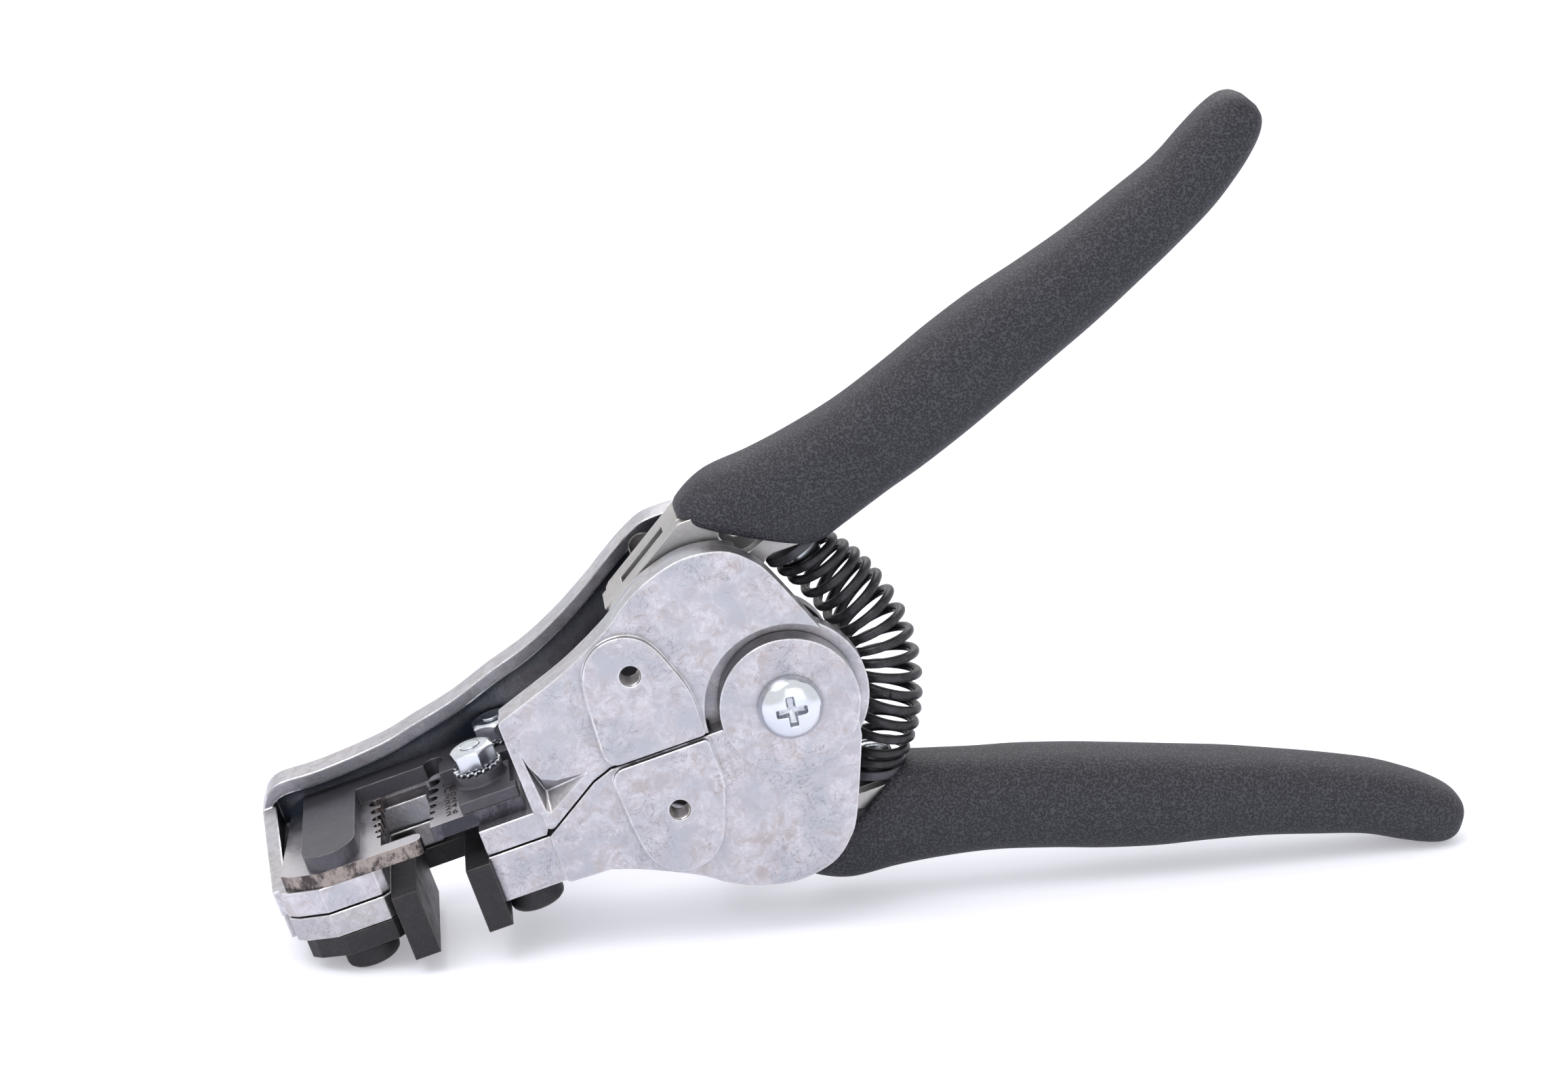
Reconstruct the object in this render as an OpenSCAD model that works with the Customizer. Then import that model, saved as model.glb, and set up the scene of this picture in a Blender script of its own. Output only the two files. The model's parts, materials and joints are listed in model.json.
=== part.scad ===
// Automatic wire stripper, open, standing on its jaw screw and its lower grip.
// Tool frame: X runs from the jaws back along the axis of symmetry to the handles,
// Z is the way the wire runs, Y is the thickness, and the pivot lies at the origin.

/* [Body castings] */
// Pivot to the widest edge of the cast body
body_rise = 27.3; // [26:0.1:30]
// Pivot to the front edge of the cast plates
plate_reach = 41.8; // [40:0.1:44]
// Face of the near castings, in front of the middle plane
face_depth = 15; // [14.5:0.1:16]
// Back of the far castings, behind the middle plane
back_depth = 15; // [14.8:0.1:17]
// Thickness of the cast plates
cast_t = 3.5; // [3:0.1:4]
// Height of the accessory bosses over the plate
boss_rise = 1; // [0.5:0.1:2]
// Length of an accessory boss, from the parting line outwards
boss_reach = 19; // [17:0.1:19.6]
// Width of an accessory boss
boss_w = 15.6; // [13:0.1:17]
// Diameter of the threaded accessory holes
accessory_d = 3.3; // [2.5:0.1:4]
// Gap along the parting line
parting_gap = 0.4; // [0.2:0.05:0.8]
// Drop of the parting line between the body and the jaws
parting_drop = 7; // [6:0.1:8]

/* [Pivot] */
// Diameter of the pivot disc on the lower casting
disc_d = 21.2; // [19:0.1:22]
// Width of the round moat between the disc and the upper casting
moat_w = 2.2; // [1.5:0.1:2.6]
// Height of the disc over the plate
disc_rise = 0.4; // [0.1:0.1:1]
// Outer diameter of the pivot bush
bush_d = 8; // [7:0.1:9]
// Diameter of the pivot screw's shank
pivot_d = 5; // [4:0.1:5.5]
// Diameter of the pivot screw's head
pivot_head_d = 9.4; // [8:0.1:12]
// Height of the pivot screw's head
pivot_head_h = 3; // [2:0.1:4]
// Radial running clearance on the pivot
run_gap = 0.05; // [0.02:0.01:0.1]

/* [Jaws] */
// Width of the left jaw layers, along the axis
jaw_w = 16.2; // [14:0.1:18]
// Pivot to the front of the fixed nose
nose_reach = 50.3; // [49:0.1:52]
// Length of the nose that carries the right jaw
nose_w = 9.7; // [9:0.1:10.5]
// Distance that the hooks and the left jaws travel
travel = 7.5; // [6:0.1:7.6]
// Distance left between the blades and between the pads when closed
closed_gap = 0.3; // [0.1:0.05:0.6]
// Thickness of a blade
blade_t = 2.4; // [1.8:0.1:3]
// Thickness of the finger plate that clamps the left blade
finger_t = 2.6; // [2:0.1:3.5]
// Width of the finger
finger_w = 8.5; // [6:0.1:9]
// Height of the upper jaw layer
upper_layer = 4.2; // [3.5:0.1:4.6]
// Height of the lower left jaw layer
lower_layer = 3.8; // [3:0.1:4.2]
// Height of the lower nose block
nose_h = 7.6; // [7.2:0.1:8.5]
// Thickness of the gripper plate under the left jaw
gripper_plate_t = 3.2; // [2.6:0.1:3.6]
// Thickness of the right gripper pad
pad_t = 3.8; // [3:0.1:4.2]
// Height of the gripper pads
pad_h = 10.6; // [9:0.1:11]
// Pitch of the blade notches at the back
notch_pitch = 3.3; // [2.8:0.1:3.4]
// Radius of the largest notch
notch_r = 1.25; // [0.8:0.05:1.3]

/* [Hook castings] */
// Thickness of the hook's back plate
hook_t = 3; // [2.4:0.1:3.4]
// Height of the hook's rim wall
rim_h = 5; // [4:0.1:5.2]
// Thickness of the rim wall
rim_t = 2.2; // [1.6:0.1:2.6]
// Pivot to the link pin, across the handle
link_rise = 23.7; // [23:0.1:24.2]
// Diameter of the link pins
link_d = 3.6; // [3:0.1:4]
// Clearance round a link pin in its slot
link_gap = 0.35; // [0.3:0.05:0.6]
// Diameter of the guide screws' shoulders
guide_d = 3; // [2.5:0.1:3.4]

/* [Handles] */
// Angle of each open handle from the axis
open_angle = 33; // [31:0.5:35]
// Travel of each handle while the jaws close
close_angle = 20; // [16:0.5:21]
// Pivot to the tip of a handle
handle_reach = 111.6; // [105:0.1:120]
// Pivot to the outer edge of the grip's front end
grip_rise = 30.9; // [30:0.1:33]
// Half the greatest width of a grip
grip_half = 8.2; // [7.9:0.1:9.5]
// Thickness of the grip's coating
coat = 2.2; // [1.8:0.1:2.4]
// Thickness of a lever plate
lever_t = 2.4; // [2:0.1:2.5]
// Overall width of a lever channel
lever_w = 11.2; // [11:0.1:11.4]
// Diameter of the lever's eye
eye_d = 17; // [15:0.1:18]

/* [Spring] */
// Wire diameter
wire_d = 1.4; // [1:0.05:1.5]
// Outer diameter of the coil
coil_d = 10.6; // [10:0.1:12]
// Reach of each spring end from the axis
spring_half = 18.6; // [18:0.1:19.2]
// Pivot to the middle of the bowed coil
spring_reach = 16.3; // [15.5:0.1:18]
// Pivot line to the centre of each spring seat
seat_reach = 8.6; // [8.4:0.1:9.4]
// Number of turns
coil_turns = 16; // [10:1:16]

/* [Hidden] */

// Cuts run past the faces they open by this much
over = 1;
// Faces that slide past each other stay this far apart
slide_gap = 0.2;
// Faces of one body that a union needs to share
weld = 0.3;
rounds = 48;
corner_steps = 5;
// Corners of the plates and levers
plate_corner = 2;
cast_corner = 0.9;

// Layers through the thickness, from the near face to the back
near_face = -face_depth;
near_back = near_face + cast_t;
eye_t = 3;
eye_front = near_back + slide_gap / 2;
eye_back = eye_front + eye_t;
upper_lever_front = eye_back + slide_gap;
upper_lever_back = upper_lever_front + lever_w;
lower_lever_front = upper_lever_front + lever_t + slide_gap;
lower_lever_back = lower_lever_front + lever_w;
hook_back = back_depth;
hook_front = hook_back - hook_t;
rim_front = hook_back - rim_h;
side_t = 3;
side_back = hook_front - slide_gap * 2;
side_front = side_back - side_t;
side_mid = (side_front + side_back) / 2;

// Levels across the jaws, along the wire
jaw_parting = -parting_drop;
upper_floor = jaw_parting + parting_gap / 2;
blade_seat = upper_floor + upper_layer - parting_gap / 2;
blade_top = blade_seat + blade_t;
finger_top = blade_top + finger_t;
lower_roof = jaw_parting - parting_gap / 2;
layer_foot = lower_roof - lower_layer;
gripper_top = layer_foot - slide_gap;
gripper_foot = gripper_top - gripper_plate_t;
nose_foot = lower_roof - nose_h;
pad_top = lower_roof - slide_gap;
pad_foot = pad_top - pad_h;
screw_head_h = 3.6;
screw_head_r = 4.2;
screw_shank_r = 2;

// Stations along the axis, from the pivot to the jaws
nose_front = -nose_reach;
pad_contact = nose_front - pad_t;
left_pad_face = pad_contact - closed_gap - travel;
left_pad_t = 4;
stack_right = left_pad_face - left_pad_t;
stack_left = stack_right - jaw_w;
blade_overhang = 6.9;
right_edge = nose_front - blade_overhang;
left_edge = right_edge - closed_gap - travel;
end_wall_t = 2.2;
hook_left = stack_left - end_wall_t / 2;
jaw_reach = -hook_left;

// Pivot radii
disc_r = disc_d / 2;
moat_r = disc_r + moat_w;
bush_r = bush_d / 2;
pivot_r = pivot_d / 2;
side_eye_r = 9;
eye_gap = 0.4;

// Places on the castings
boss_x = -21;
accessory_x = -20.8;
accessory_z = 11.35;
// The pair sits this far above the middle of the bosses
accessory_shift = 1.75;
accessory_r = accessory_d / 2;
parting_bend_x = -31.5;
parting_level_x = -28.4;
nose_bend_x = nose_front + nose_w;
skirt_t = 2;
skirt_h = 2.4;

// Spring on its bowed line
wire_r = wire_d / 2;
coil_r = coil_d / 2 - wire_r;
spring_y = (upper_lever_front + lower_lever_back) / 2;
bow = spring_reach - seat_reach;
bow_r = (spring_half * spring_half + bow * bow) / (2 * bow);
bow_x = spring_reach - bow_r;
bow_half_angle = asin(spring_half / bow_r);
fan_angle = 9;
seat_t = 2.6;
seat_r = 4.9;
seat_boss_r = 1.9;
seat_boss_h = 2;

// Two-dimensional helpers
function unit(v) = v / norm(v);
function scaled(shares, size) = [for (s = shares) [s.x * size.x, s.y * size.y]];
function flipped(points) = [for (i = [len(points) - 1:-1:0]) [points[i].x, -points[i].y]];
function lifted(points, lift) = [for (p = points) [p.x, p.y + lift]];
// A corner that turns by less than this many degrees stays sharp
straight_enough = 25;
function corner(a, b, c, r, n) =
    let (to_a = unit(a - b), to_c = unit(c - b), half = acos(to_a * to_c) / 2,
        cut = min(r / tan(half), norm(a - b) * 0.49, norm(c - b) * 0.49),
        round_r = cut * tan(half), middle = b + unit(to_a + to_c) * round_r / sin(half),
        first = b + to_a * cut - middle, last = b + to_c * cut - middle,
        start = atan2(first.y, first.x), turn = atan2(last.y, last.x) - start,
        sweep = turn > 180 ? turn - 360 : turn < -180 ? turn + 360 : turn)
    abs(sweep) < straight_enough ? [b]
    : [for (i = [0:n]) middle + round_r * [cos(start + sweep * i / n), sin(start + sweep * i / n)]];
function softened(points, r, n = corner_steps) =
    let (k = len(points))
    [for (i = [0:k - 1]) each corner(points[(i + k - 1) % k], points[i], points[(i + 1) % k], r, n)];
function drawn_in(points, d) =
    let (k = len(points))
    [for (i = [0:k - 1])
        let (a = unit(points[i] - points[(i + k - 1) % k]), b = unit(points[(i + 1) % k] - points[i]),
            across_a = [-a.y, a.x], across_b = [-b.y, b.x])
        points[i] + d * (across_a + across_b) / (1 + across_a * across_b)];

// A smooth line through points, with as many steps between two of them as asked
function blend_station(a, b, c, d, t) =
    0.5 * (2 * b + (c - a) * t + (2 * a - 5 * b + 4 * c - d) * t * t + (3 * b - a - 3 * c + d) * t * t * t);
curve_steps = 4;
function curve(points, n = curve_steps) = let (last = len(points) - 1)
    concat([for (i = [0:last - 1], k = [0:n - 1]) blend_station(points[max(0, i - 1)], points[i],
        points[i + 1], points[min(last, i + 2)], k / n)], [points[last]]);

// A closed skin over rings that all have as many points
module skin(rings) {
    n = len(rings[0]);
    last = len(rings) - 1;
    sides = [for (k = [0:last - 1], i = [0:n - 1], half = [0, 1])
        let (a = k * n + i, b = k * n + (i + 1) % n, c = a + n, d = b + n)
        half == 0 ? [a, b, c] : [b, d, c]];
    near_cap = [for (i = [n - 1:-1:0]) i];
    far_cap = [for (i = [0:n - 1]) last * n + i];
    polyhedron([for (ring = rings) each ring], concat([near_cap, far_cap], sides), convexity = 6);
}

module plate(front, back)
    translate([0, back, 0]) rotate([90, 0, 0]) linear_extrude(back - front) children();
module rod(r, front, back, x = 0, z = 0, n = rounds)
    translate([x, back, z]) rotate([90, 0, 0]) cylinder(r = r, h = back - front, $fn = n);
module post(r, foot, top, x, y, n = rounds)
    translate([x, y, foot]) cylinder(r = r, h = top - foot, $fn = n);
module slab(foot, top) translate([0, 0, foot]) linear_extrude(top - foot) children();
module block(x0, x1, y0, y1, z0, z1) translate([x0, y0, z0]) cube([x1 - x0, y1 - y0, z1 - z0]);
module slot(r, a, b, front, back) {
    aside = r * [unit(b - a).y, -unit(b - a).x];
    rod(r, front, back, a.x, a.y);
    rod(r, front, back, b.x, b.y);
    plate(front, back) polygon([a + aside, b + aside, b - aside, a - aside]);
}

// Outlines, as shares of the sizes that they follow
flank_share = [[0.206, 0.31], [0.1, 0.722], [0.043, 0.864], [-0.045, 0.967], [-0.184, 1],
    [-0.318, 0.952], [-0.419, 0.879], [-0.526, 0.762], [-0.694, 0.63], [-0.806, 0.564]];
flank = curve(scaled(flank_share, [plate_reach, body_rise]));
hook_top_share = [[-0.084, 0.989], [-0.143, 0.989], [-0.186, 0.938], [-0.233, 0.853],
    [-0.29, 0.74], [-0.364, 0.612], [-0.437, 0.513], [-0.513, 0.443], [-0.597, 0.355],
    [-0.678, 0.3], [-0.751, 0.253], [-0.871, 0.227], [-0.952, 0.234], [-0.982, 0.19]];
hook_top = curve(scaled(hook_top_share, [jaw_reach, body_rise]));
hook_corner_z = hook_top_share[13].y * body_rise - rim_t;
hook_low_share = [[-0.084, 0.989], [-0.143, 0.989], [-0.186, 0.938], [-0.233, 0.853],
    [-0.29, 0.74], [-0.364, 0.63], [-0.44, 0.58], [-0.52, 0.568]];
hook_low = curve(scaled(hook_low_share, [jaw_reach, body_rise]));

// Where the near castings part: level at the jaws, a steep slope, a short easy one, then
// level to the pivot
parting_bend_share = 0.16;
function near_parting(side) = lifted([[nose_bend_x, jaw_parting],
    [parting_bend_x, jaw_parting * parting_bend_share], [parting_level_x, 0], [disc_r * 0.93, 0]],
    side * parting_gap / 2);
// Where the far pieces part: the slope starts closer to the pivot
far_bend_x = -20;
far_level_x = -36;

plate_front_x = -plate_reach;
wall_foot_x = nose_bend_x - skirt_t / 2;
front_corner_share = 0.46;
front_corner = [plate_front_x, body_rise * front_corner_share];
upper_outline = concat(near_parting(1), flank,
    [front_corner, [wall_foot_x, blade_seat], [nose_bend_x, blade_seat - weld * 2]]);
lower_outline = concat([[nose_bend_x, nose_foot - weld]],
    flipped(flank), flipped(near_parting(-1) * [[1, 0], [0, -1]]));

boss_foot = [-boss_w / 2, 0];
boss_share = [[0.5, 0], [0.5, 0.34], [0.44, 0.55], [0.3, 0.84], [0.13, 0.97], [-0.08, 1],
    [-0.28, 0.94], [-0.42, 0.78], [-0.47, 0.5]];
boss_outline = lifted(concat([boss_foot], curve(scaled(boss_share, [boss_w, boss_reach]))), parting_gap);

module boss_plate() {
    translate([boss_x, 0, 0])
        plate(near_face - boss_rise, near_face + weld) polygon(softened(boss_outline, plate_corner));
}

module moat() rod(moat_r, near_face - boss_rise - over, eye_front, n = 96);

// Low wall behind the outer edge, stiffening the plate
skirt_foot_share = 0.45;
module near_skirt(points) {
    outer = drawn_in(softened(points, cast_corner), weld / 3);
    plate(near_back - weld, near_back + skirt_h) intersection() {
        difference() {
            polygon(outer);
            polygon(drawn_in(points, skirt_t));
        }
        translate([plate_front_x, body_rise * skirt_foot_share]) square([plate_reach, body_rise]);
    }
}

nose_set_back = 0.4;
nose_y = near_face + nose_set_back;

module near_upper_casting() color("silver") difference() {
    union() {
        difference() {
            union() {
                plate(near_face, near_back) polygon(softened(upper_outline, cast_corner));
                boss_plate();
            }
            moat();
        }
        near_skirt(upper_outline);
        // Round eye behind the disc, joined to the plate outside the moat
        rod(moat_r - eye_gap, eye_front, eye_back, n = 96);
        plate(eye_front, eye_back) polygon(eye_tab);
        difference() {
            plate(near_back - weld, eye_front + weld) polygon(drawn_in(eye_tab, weld));
            moat_core();
        }
        // Nose block, the seat of the right blade
        slab_nose();
        plate(near_face + cast_t * 0.6, near_face + cast_t * 2.4) polygon(web_outline);
    }
    rod(bush_r + run_gap, near_face - over, eye_back + over, n = 64);
    rod(accessory_r, near_face - boss_rise - over, near_back + over,
        accessory_x, accessory_shift + accessory_z);
    post(stud_r, upper_floor - over, blade_seat + over, near_stud_x, near_stud_y);
    valley();
}

// Front wall of the upper casting, from the nose up to the top corner
web_front = [front_corner - [0, cast_t / 4], [wall_foot_x, blade_seat + cast_t],
    [wall_foot_x, blade_seat - weld]];
web_outline = concat([for (p = web_front) p + [nose_set_back, 0]],
    [for (i = [2:-1:0]) web_front[i] + [cast_t * 0.8, 0]]);
eye_tab_share = [[-0.38, 0.03], [0.2, 0.03], [0.17, 0.35], [-0.2, 0.78], [-0.36, 0.5]];
eye_tab = scaled(eye_tab_share, [plate_reach, body_rise]);
module moat_core() rod(moat_r, near_face, eye_front + over, n = 96);

module slab_nose() {
    plate(nose_y, side_front) polygon([[nose_front, upper_floor], [nose_bend_x - weld, upper_floor],
        [nose_bend_x + (blade_seat - upper_floor) * 0.5, blade_seat], [nose_front, blade_seat]]);
}

// The cast valley behind the front wall, above a thin rib that follows the parting line.
// Shares of the slope's run and of the parting's drop
valley_depth = 2.4;
valley_share = [[0.02, 1.12], [0.08, 0.69], [0.21, 0.31], [0.45, 0.17], [0.98, 0.1],
    [0.17, -0.52], [0.1, -0.46]];
valley_floor_share = [0.2, -0.12];
module valley() {
    run = [parting_bend_x - nose_bend_x, parting_drop];
    rim = [for (p = scaled(valley_share, run)) [nose_bend_x + p.x, near_face - over / 20, p.y]];
    deep = [nose_bend_x + valley_floor_share.x * run.x, near_face + valley_depth,
        valley_floor_share.y * run.y];
    n = len(rim);
    polyhedron(concat(rim, [deep]), concat([[for (i = [0:n - 1]) i]],
        [for (i = [0:n - 1]) [(i + 1) % n, i, n]]));
}

module near_lower_casting() color("silver") difference() {
    union() {
        plate(near_face, near_back) polygon(softened(lower_outline, cast_corner));
        rod(disc_r, near_face - disc_rise, near_back - weld, n = 96);
        mirror([0, 0, 1]) boss_plate();
        mirror([0, 0, 1]) near_skirt(flipped(lower_outline));
        // Lower nose block, the seat of the right gripper pad
        translate([nose_front, 0, 0]) rotate([90, 0, 90])
            linear_extrude(nose_bend_x - nose_front + weld)
                polygon([[nose_y, nose_foot], [side_front - slide_gap * 6, nose_foot],
                    [side_front - slide_gap * 6, layer_foot], [side_front, layer_foot],
                    [side_front, lower_roof], [nose_y, lower_roof]]);
    }
    rod(pivot_r, near_face - disc_rise - over, near_back + over);
    rod(accessory_r, near_face - boss_rise - over, near_back + over,
        accessory_x, accessory_shift - accessory_z);
    post(screw_shank_r, nose_foot - over, lower_roof - over, right_screw_x, jaw_screw_y);
}

cross_w = 1.1;
cross_l = 4.6;
cross_depth = 1.6;
head_dome = 0.55;
module pivot_screw() color("lightsteelblue") difference() {
    top = near_face - disc_rise;
    union() {
        // Pan head: a short cylinder under a low dome
        rod(pivot_head_d / 2, top - pivot_head_h * (1 - head_dome), top, n = 64);
        translate([0, top - pivot_head_h * (1 - head_dome), 0]) rotate([90, 0, 0])
            rotate_extrude($fn = 64) polygon(concat([[0, 0]],
                [for (a = [0:15:90]) [pivot_head_d / 2 * cos(a), pivot_head_h * head_dome * sin(a)]]));
        rod(pivot_r, top - weld, hook_back + slide_gap);
    }
    for (turn = [0, 90]) rotate([0, turn, 0])
        block(-cross_l / 2, cross_l / 2, top - pivot_head_h - over, top - pivot_head_h + cross_depth,
            -cross_w / 2, cross_w / 2);
}

module pivot_bush() color("gray") difference() {
    rod(bush_r, near_back, side_mid + slide_gap / 4);
    rod(pivot_r, near_back - over, side_back + over);
}

pivot_nut_r = 5;
nut_sides = 6;
module pivot_nut() color("lightsteelblue") difference() {
    rod(pivot_nut_r, side_back, hook_back, n = nut_sides);
    rod(pivot_r, side_back - over, hook_back + over);
}

spacer_r = 7;
module pivot_spacers() color("gray") {
    washer_between(lower_lever_front + lever_t, upper_lever_back - lever_t);
    washer_between(lower_lever_back, side_front);
}
module washer_between(front, back) difference() {
    rod(spacer_r, front + slide_gap / 2, back - slide_gap / 2);
    rod(bush_r, front - over, back + over);
}

// Side plates: the far half of each frame, lapped round the bush
side_share = [[-0.24, 0.46], [-0.56, 0.38], [-0.63, 0.16], [-0.65, -0.103]];
lower_side_share = [[-0.24, -0.46], [-0.6, -0.46], [-0.675, -0.4]];
side_wing = scaled(side_share, [nose_reach, body_rise]);
lower_side_wing = scaled(lower_side_share, [nose_reach, body_rise]);
side_outlines = [
    concat([[nose_front, upper_floor], [far_level_x, upper_floor], [far_bend_x, parting_gap / 2],
        [0, parting_gap / 2], [0, side_eye_r]], side_wing, [[nose_front, blade_seat]]),
    concat([[nose_front, lower_roof], [far_level_x, lower_roof], [far_bend_x, -parting_gap / 2],
        [0, -parting_gap / 2], [0, -side_eye_r]], lower_side_wing,
        [[lower_side_wing[2].x, layer_foot + slide_gap], [nose_front, layer_foot + slide_gap]])];
lap_gap = slide_gap / 4;
eye_layers = [[side_front, side_mid - lap_gap], [side_mid + lap_gap, side_back]];
cut_layers = [[side_mid - lap_gap, side_back + over], [side_front - over, side_mid + lap_gap]];
module side_plate(part, bore_r) difference() {
    union() {
        difference() {
            plate(side_front, side_back) polygon(side_outlines[part]);
            rod(side_eye_r + eye_gap, cut_layers[part][0], cut_layers[part][1], n = 64);
        }
        rod(side_eye_r, eye_layers[part][0], eye_layers[part][1], n = 64);
    }
    rod(bore_r, side_front - over, side_back + over, n = 64);
    for (p = guide_places[part]) rod(guide_d / 2, side_front - over, side_back + over, p.x, p.y);
}
module lower_side_plate() color("dimgray") side_plate(1, pivot_r);
module upper_side_plate() color("dimgray") side_plate(0, bush_r + run_gap);

// Guide screws of the upper frame, then of the lower one
guide_places = [[[-18.5, 9.4], [-29.5, 4.6]], [[-18.5, -9.4], [-29, -9.6]]];
guide_head_r = 2.8;
guide_head_h = 1.6;
module guide_screws(part) for (p = guide_places[part]) {
    rod(guide_d / 2, side_front, hook_back + slide_gap, p.x, p.y);
    rod(guide_head_r, hook_back + slide_gap, hook_back + slide_gap + guide_head_h, p.x, p.y);
}
module lower_guide_screws() color("lightsteelblue") guide_screws(1);
module upper_guide_screws() color("lightsteelblue") guide_screws(0);

// The slots that let a hook slide on its guide screws, and its link pin climb
function pin_place(turn) = let (a = open_angle - turn)
    [-link_back * cos(a) - link_rise * sin(a), -link_back * sin(a) + link_rise * cos(a)];
link_back = 0.7;
pin_rest = pin_place(0);
pin_closed = pin_place(close_angle);
guide_play = 0.3;
module hook_slots(part) {
    side = part == 0 ? 1 : -1;
    for (p = guide_places[part])
        slot(guide_d / 2 + guide_play, [p.x - travel, p.y], p, hook_front - over, hook_back + over);
    slot(link_d / 2 + link_gap, [pin_rest.x, side * pin_rest.y], [pin_rest.x, side * pin_closed.y],
        rim_front - over, hook_back + over);
}

// Jaw layers share one outline seen along the wire
stack_front_share = [[0, 0.72], [0.1, 0.83], [0.4, 1], [0.92, 1], [1, 0.94]];
function jaw_outline(left, right, back) = concat([[right, back], [left, back]],
    [for (s = stack_front_share) [left + (right - left) * s.x, -face_depth * s.y]]);

hook_end_x = -15;
hook_notch_z = 9;
hook_tail_x = -7;
hook_tail_z = 14;
stop_right = nose_front - travel - closed_gap * 2;
stop_front = side_front - slide_gap * 2;

module upper_hook_casting() color("silver") {
    outline = concat([[hook_left, upper_floor], [far_level_x, upper_floor],
        [far_bend_x, parting_gap / 2], [hook_end_x, parting_gap / 2], [hook_end_x, hook_notch_z],
        [hook_tail_x, hook_tail_z]], hook_top, [[hook_left, hook_corner_z]]);
    difference() {
        union() {
            plate(hook_front, hook_back) polygon(outline);
            plate(rim_front, hook_front + weld) polygon(concat(hook_top,
                [[hook_left, hook_corner_z], [hook_left, hook_corner_z - rim_t],
                    [hook_top[len(hook_top) - 1].x, hook_corner_z - rim_t]],
                [for (i = [len(hook_top) - 1:-1:0]) hook_top[i] - [0, rim_t]]));
            // Jaw layer, back stop and end wall
            slab(upper_floor, blade_seat) polygon(jaw_outline(stack_left, stack_right, hook_front + weld));
            block(stack_left, stop_right, stop_front, hook_front + weld, upper_floor, blade_seat);
            translate([hook_left, 0, 0]) rotate([90, 0, 90]) linear_extrude(end_wall_t)
                polygon([[hook_back, upper_floor], [hook_back, hook_corner_z],
                    [rim_front, hook_corner_z], [-face_depth * 0.66, blade_seat],
                    [-face_depth * 0.66, upper_floor]]);
            // Lug that carries the far clamp nut
            block(far_lug_left, far_lug_right, far_lug_front, hook_front + weld,
                blade_seat + slide_gap, blade_top);
        }
        hook_slots(0);
        post(stud_r, blade_seat - over, blade_top + over, far_stud_x, far_stud_y);
    }
}

module lower_hook_casting() color("silver") {
    low = flipped(hook_low);
    outline = concat([[hook_left, layer_foot - rim_t]], low, [[hook_tail_x, -hook_tail_z],
        [hook_end_x, -hook_notch_z], [hook_end_x, -parting_gap / 2], [far_bend_x, -parting_gap / 2],
        [far_level_x, lower_roof], [hook_left, lower_roof]]);
    difference() {
        union() {
            plate(hook_front, hook_back) polygon(outline);
            plate(rim_front, hook_front + weld) polygon(concat(low,
                [for (i = [len(low) - 1:-1:0]) low[i] + [0, rim_t]]));
            slab(layer_foot, lower_roof) polygon(jaw_outline(stack_left, stack_right, hook_front + weld));
            block(stack_left, stop_right, stop_front, hook_front + weld, layer_foot, lower_roof);
            block(hook_left, stack_left + end_wall_t, -face_depth * 0.6, hook_back, layer_foot, lower_roof);
        }
        hook_slots(1);
        post(screw_shank_r, layer_foot - over, lower_roof - over, left_screw_x, jaw_screw_y);
    }
}

// Blades lie in one plane, with notches that shrink towards the mouth
notch_count = 6;
notch_shrink = 0.13;
notch_back_y = 5.6;
notch_step_share = [0, 1, 1.94, 2.8, 3.58, 4.28];
blade_back = 7;
blade_front = -12;
lip_t = 3.1;
lip_reach = 6.3;
lip_end_r = 1.2;
clear_blade = 0.1;
module notches(edge, side)
    for (i = [0:notch_count - 1])
        let (r = notch_r * (1 - notch_shrink * i), y = notch_back_y - notch_pitch * notch_step_share[i])
        translate([edge, y, 0]) {
            translate([side * r * 0.5, 0, blade_seat - over])
                cylinder(r = r, h = blade_t + over * 2, $fn = 24);
            translate([side * (r * 0.25 - over / 2) - r * 0.25 - over / 2, -r, blade_seat - over])
                cube([r * 0.5 + over, r * 2, blade_t + over * 2]);
        }

module left_blade() color("gainsboro") difference() {
    lip_foot = blade_front - clear_blade * 4;
    tip = left_edge + lip_reach;
    slab(blade_seat, blade_top) polygon(concat(
        [[left_edge, hook_front], [stack_left + end_wall_t, hook_front]],
        [for (i = [0:2]) let (s = stack_front_share[i])
            [stack_left + end_wall_t / 2 + (stack_right - stack_left) * s.x, -face_depth * s.y]],
        softened_end(tip, lip_foot - lip_t, lip_foot, lip_end_r), [[left_edge, lip_foot]]));
    notches(left_edge, -1);
}
function softened_end(x, y0, y1, r) = concat(
    [for (a = [-90:30:0]) [x - r + r * cos(a), y0 + r + r * sin(a)]],
    [for (a = [0:30:90]) [x - r + r * cos(a), y1 - r + r * sin(a)]]);

blade_step_x = nose_front + nose_w * 0.216;
blade_rear_x = nose_front + nose_w * 0.79;
blade_rear_y = 3.8;
module right_blade() color("gainsboro") difference() {
    slab(blade_seat, blade_top - clear_blade) polygon([[right_edge, blade_front],
        [blade_rear_x, blade_front], [blade_rear_x, blade_rear_y], [blade_step_x, blade_rear_y],
        [blade_step_x, blade_back], [right_edge, blade_back]]);
    notches(right_edge, 1);
    post(stud_r, blade_seat - over, blade_top + over, near_stud_x, near_stud_y);
}

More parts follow.
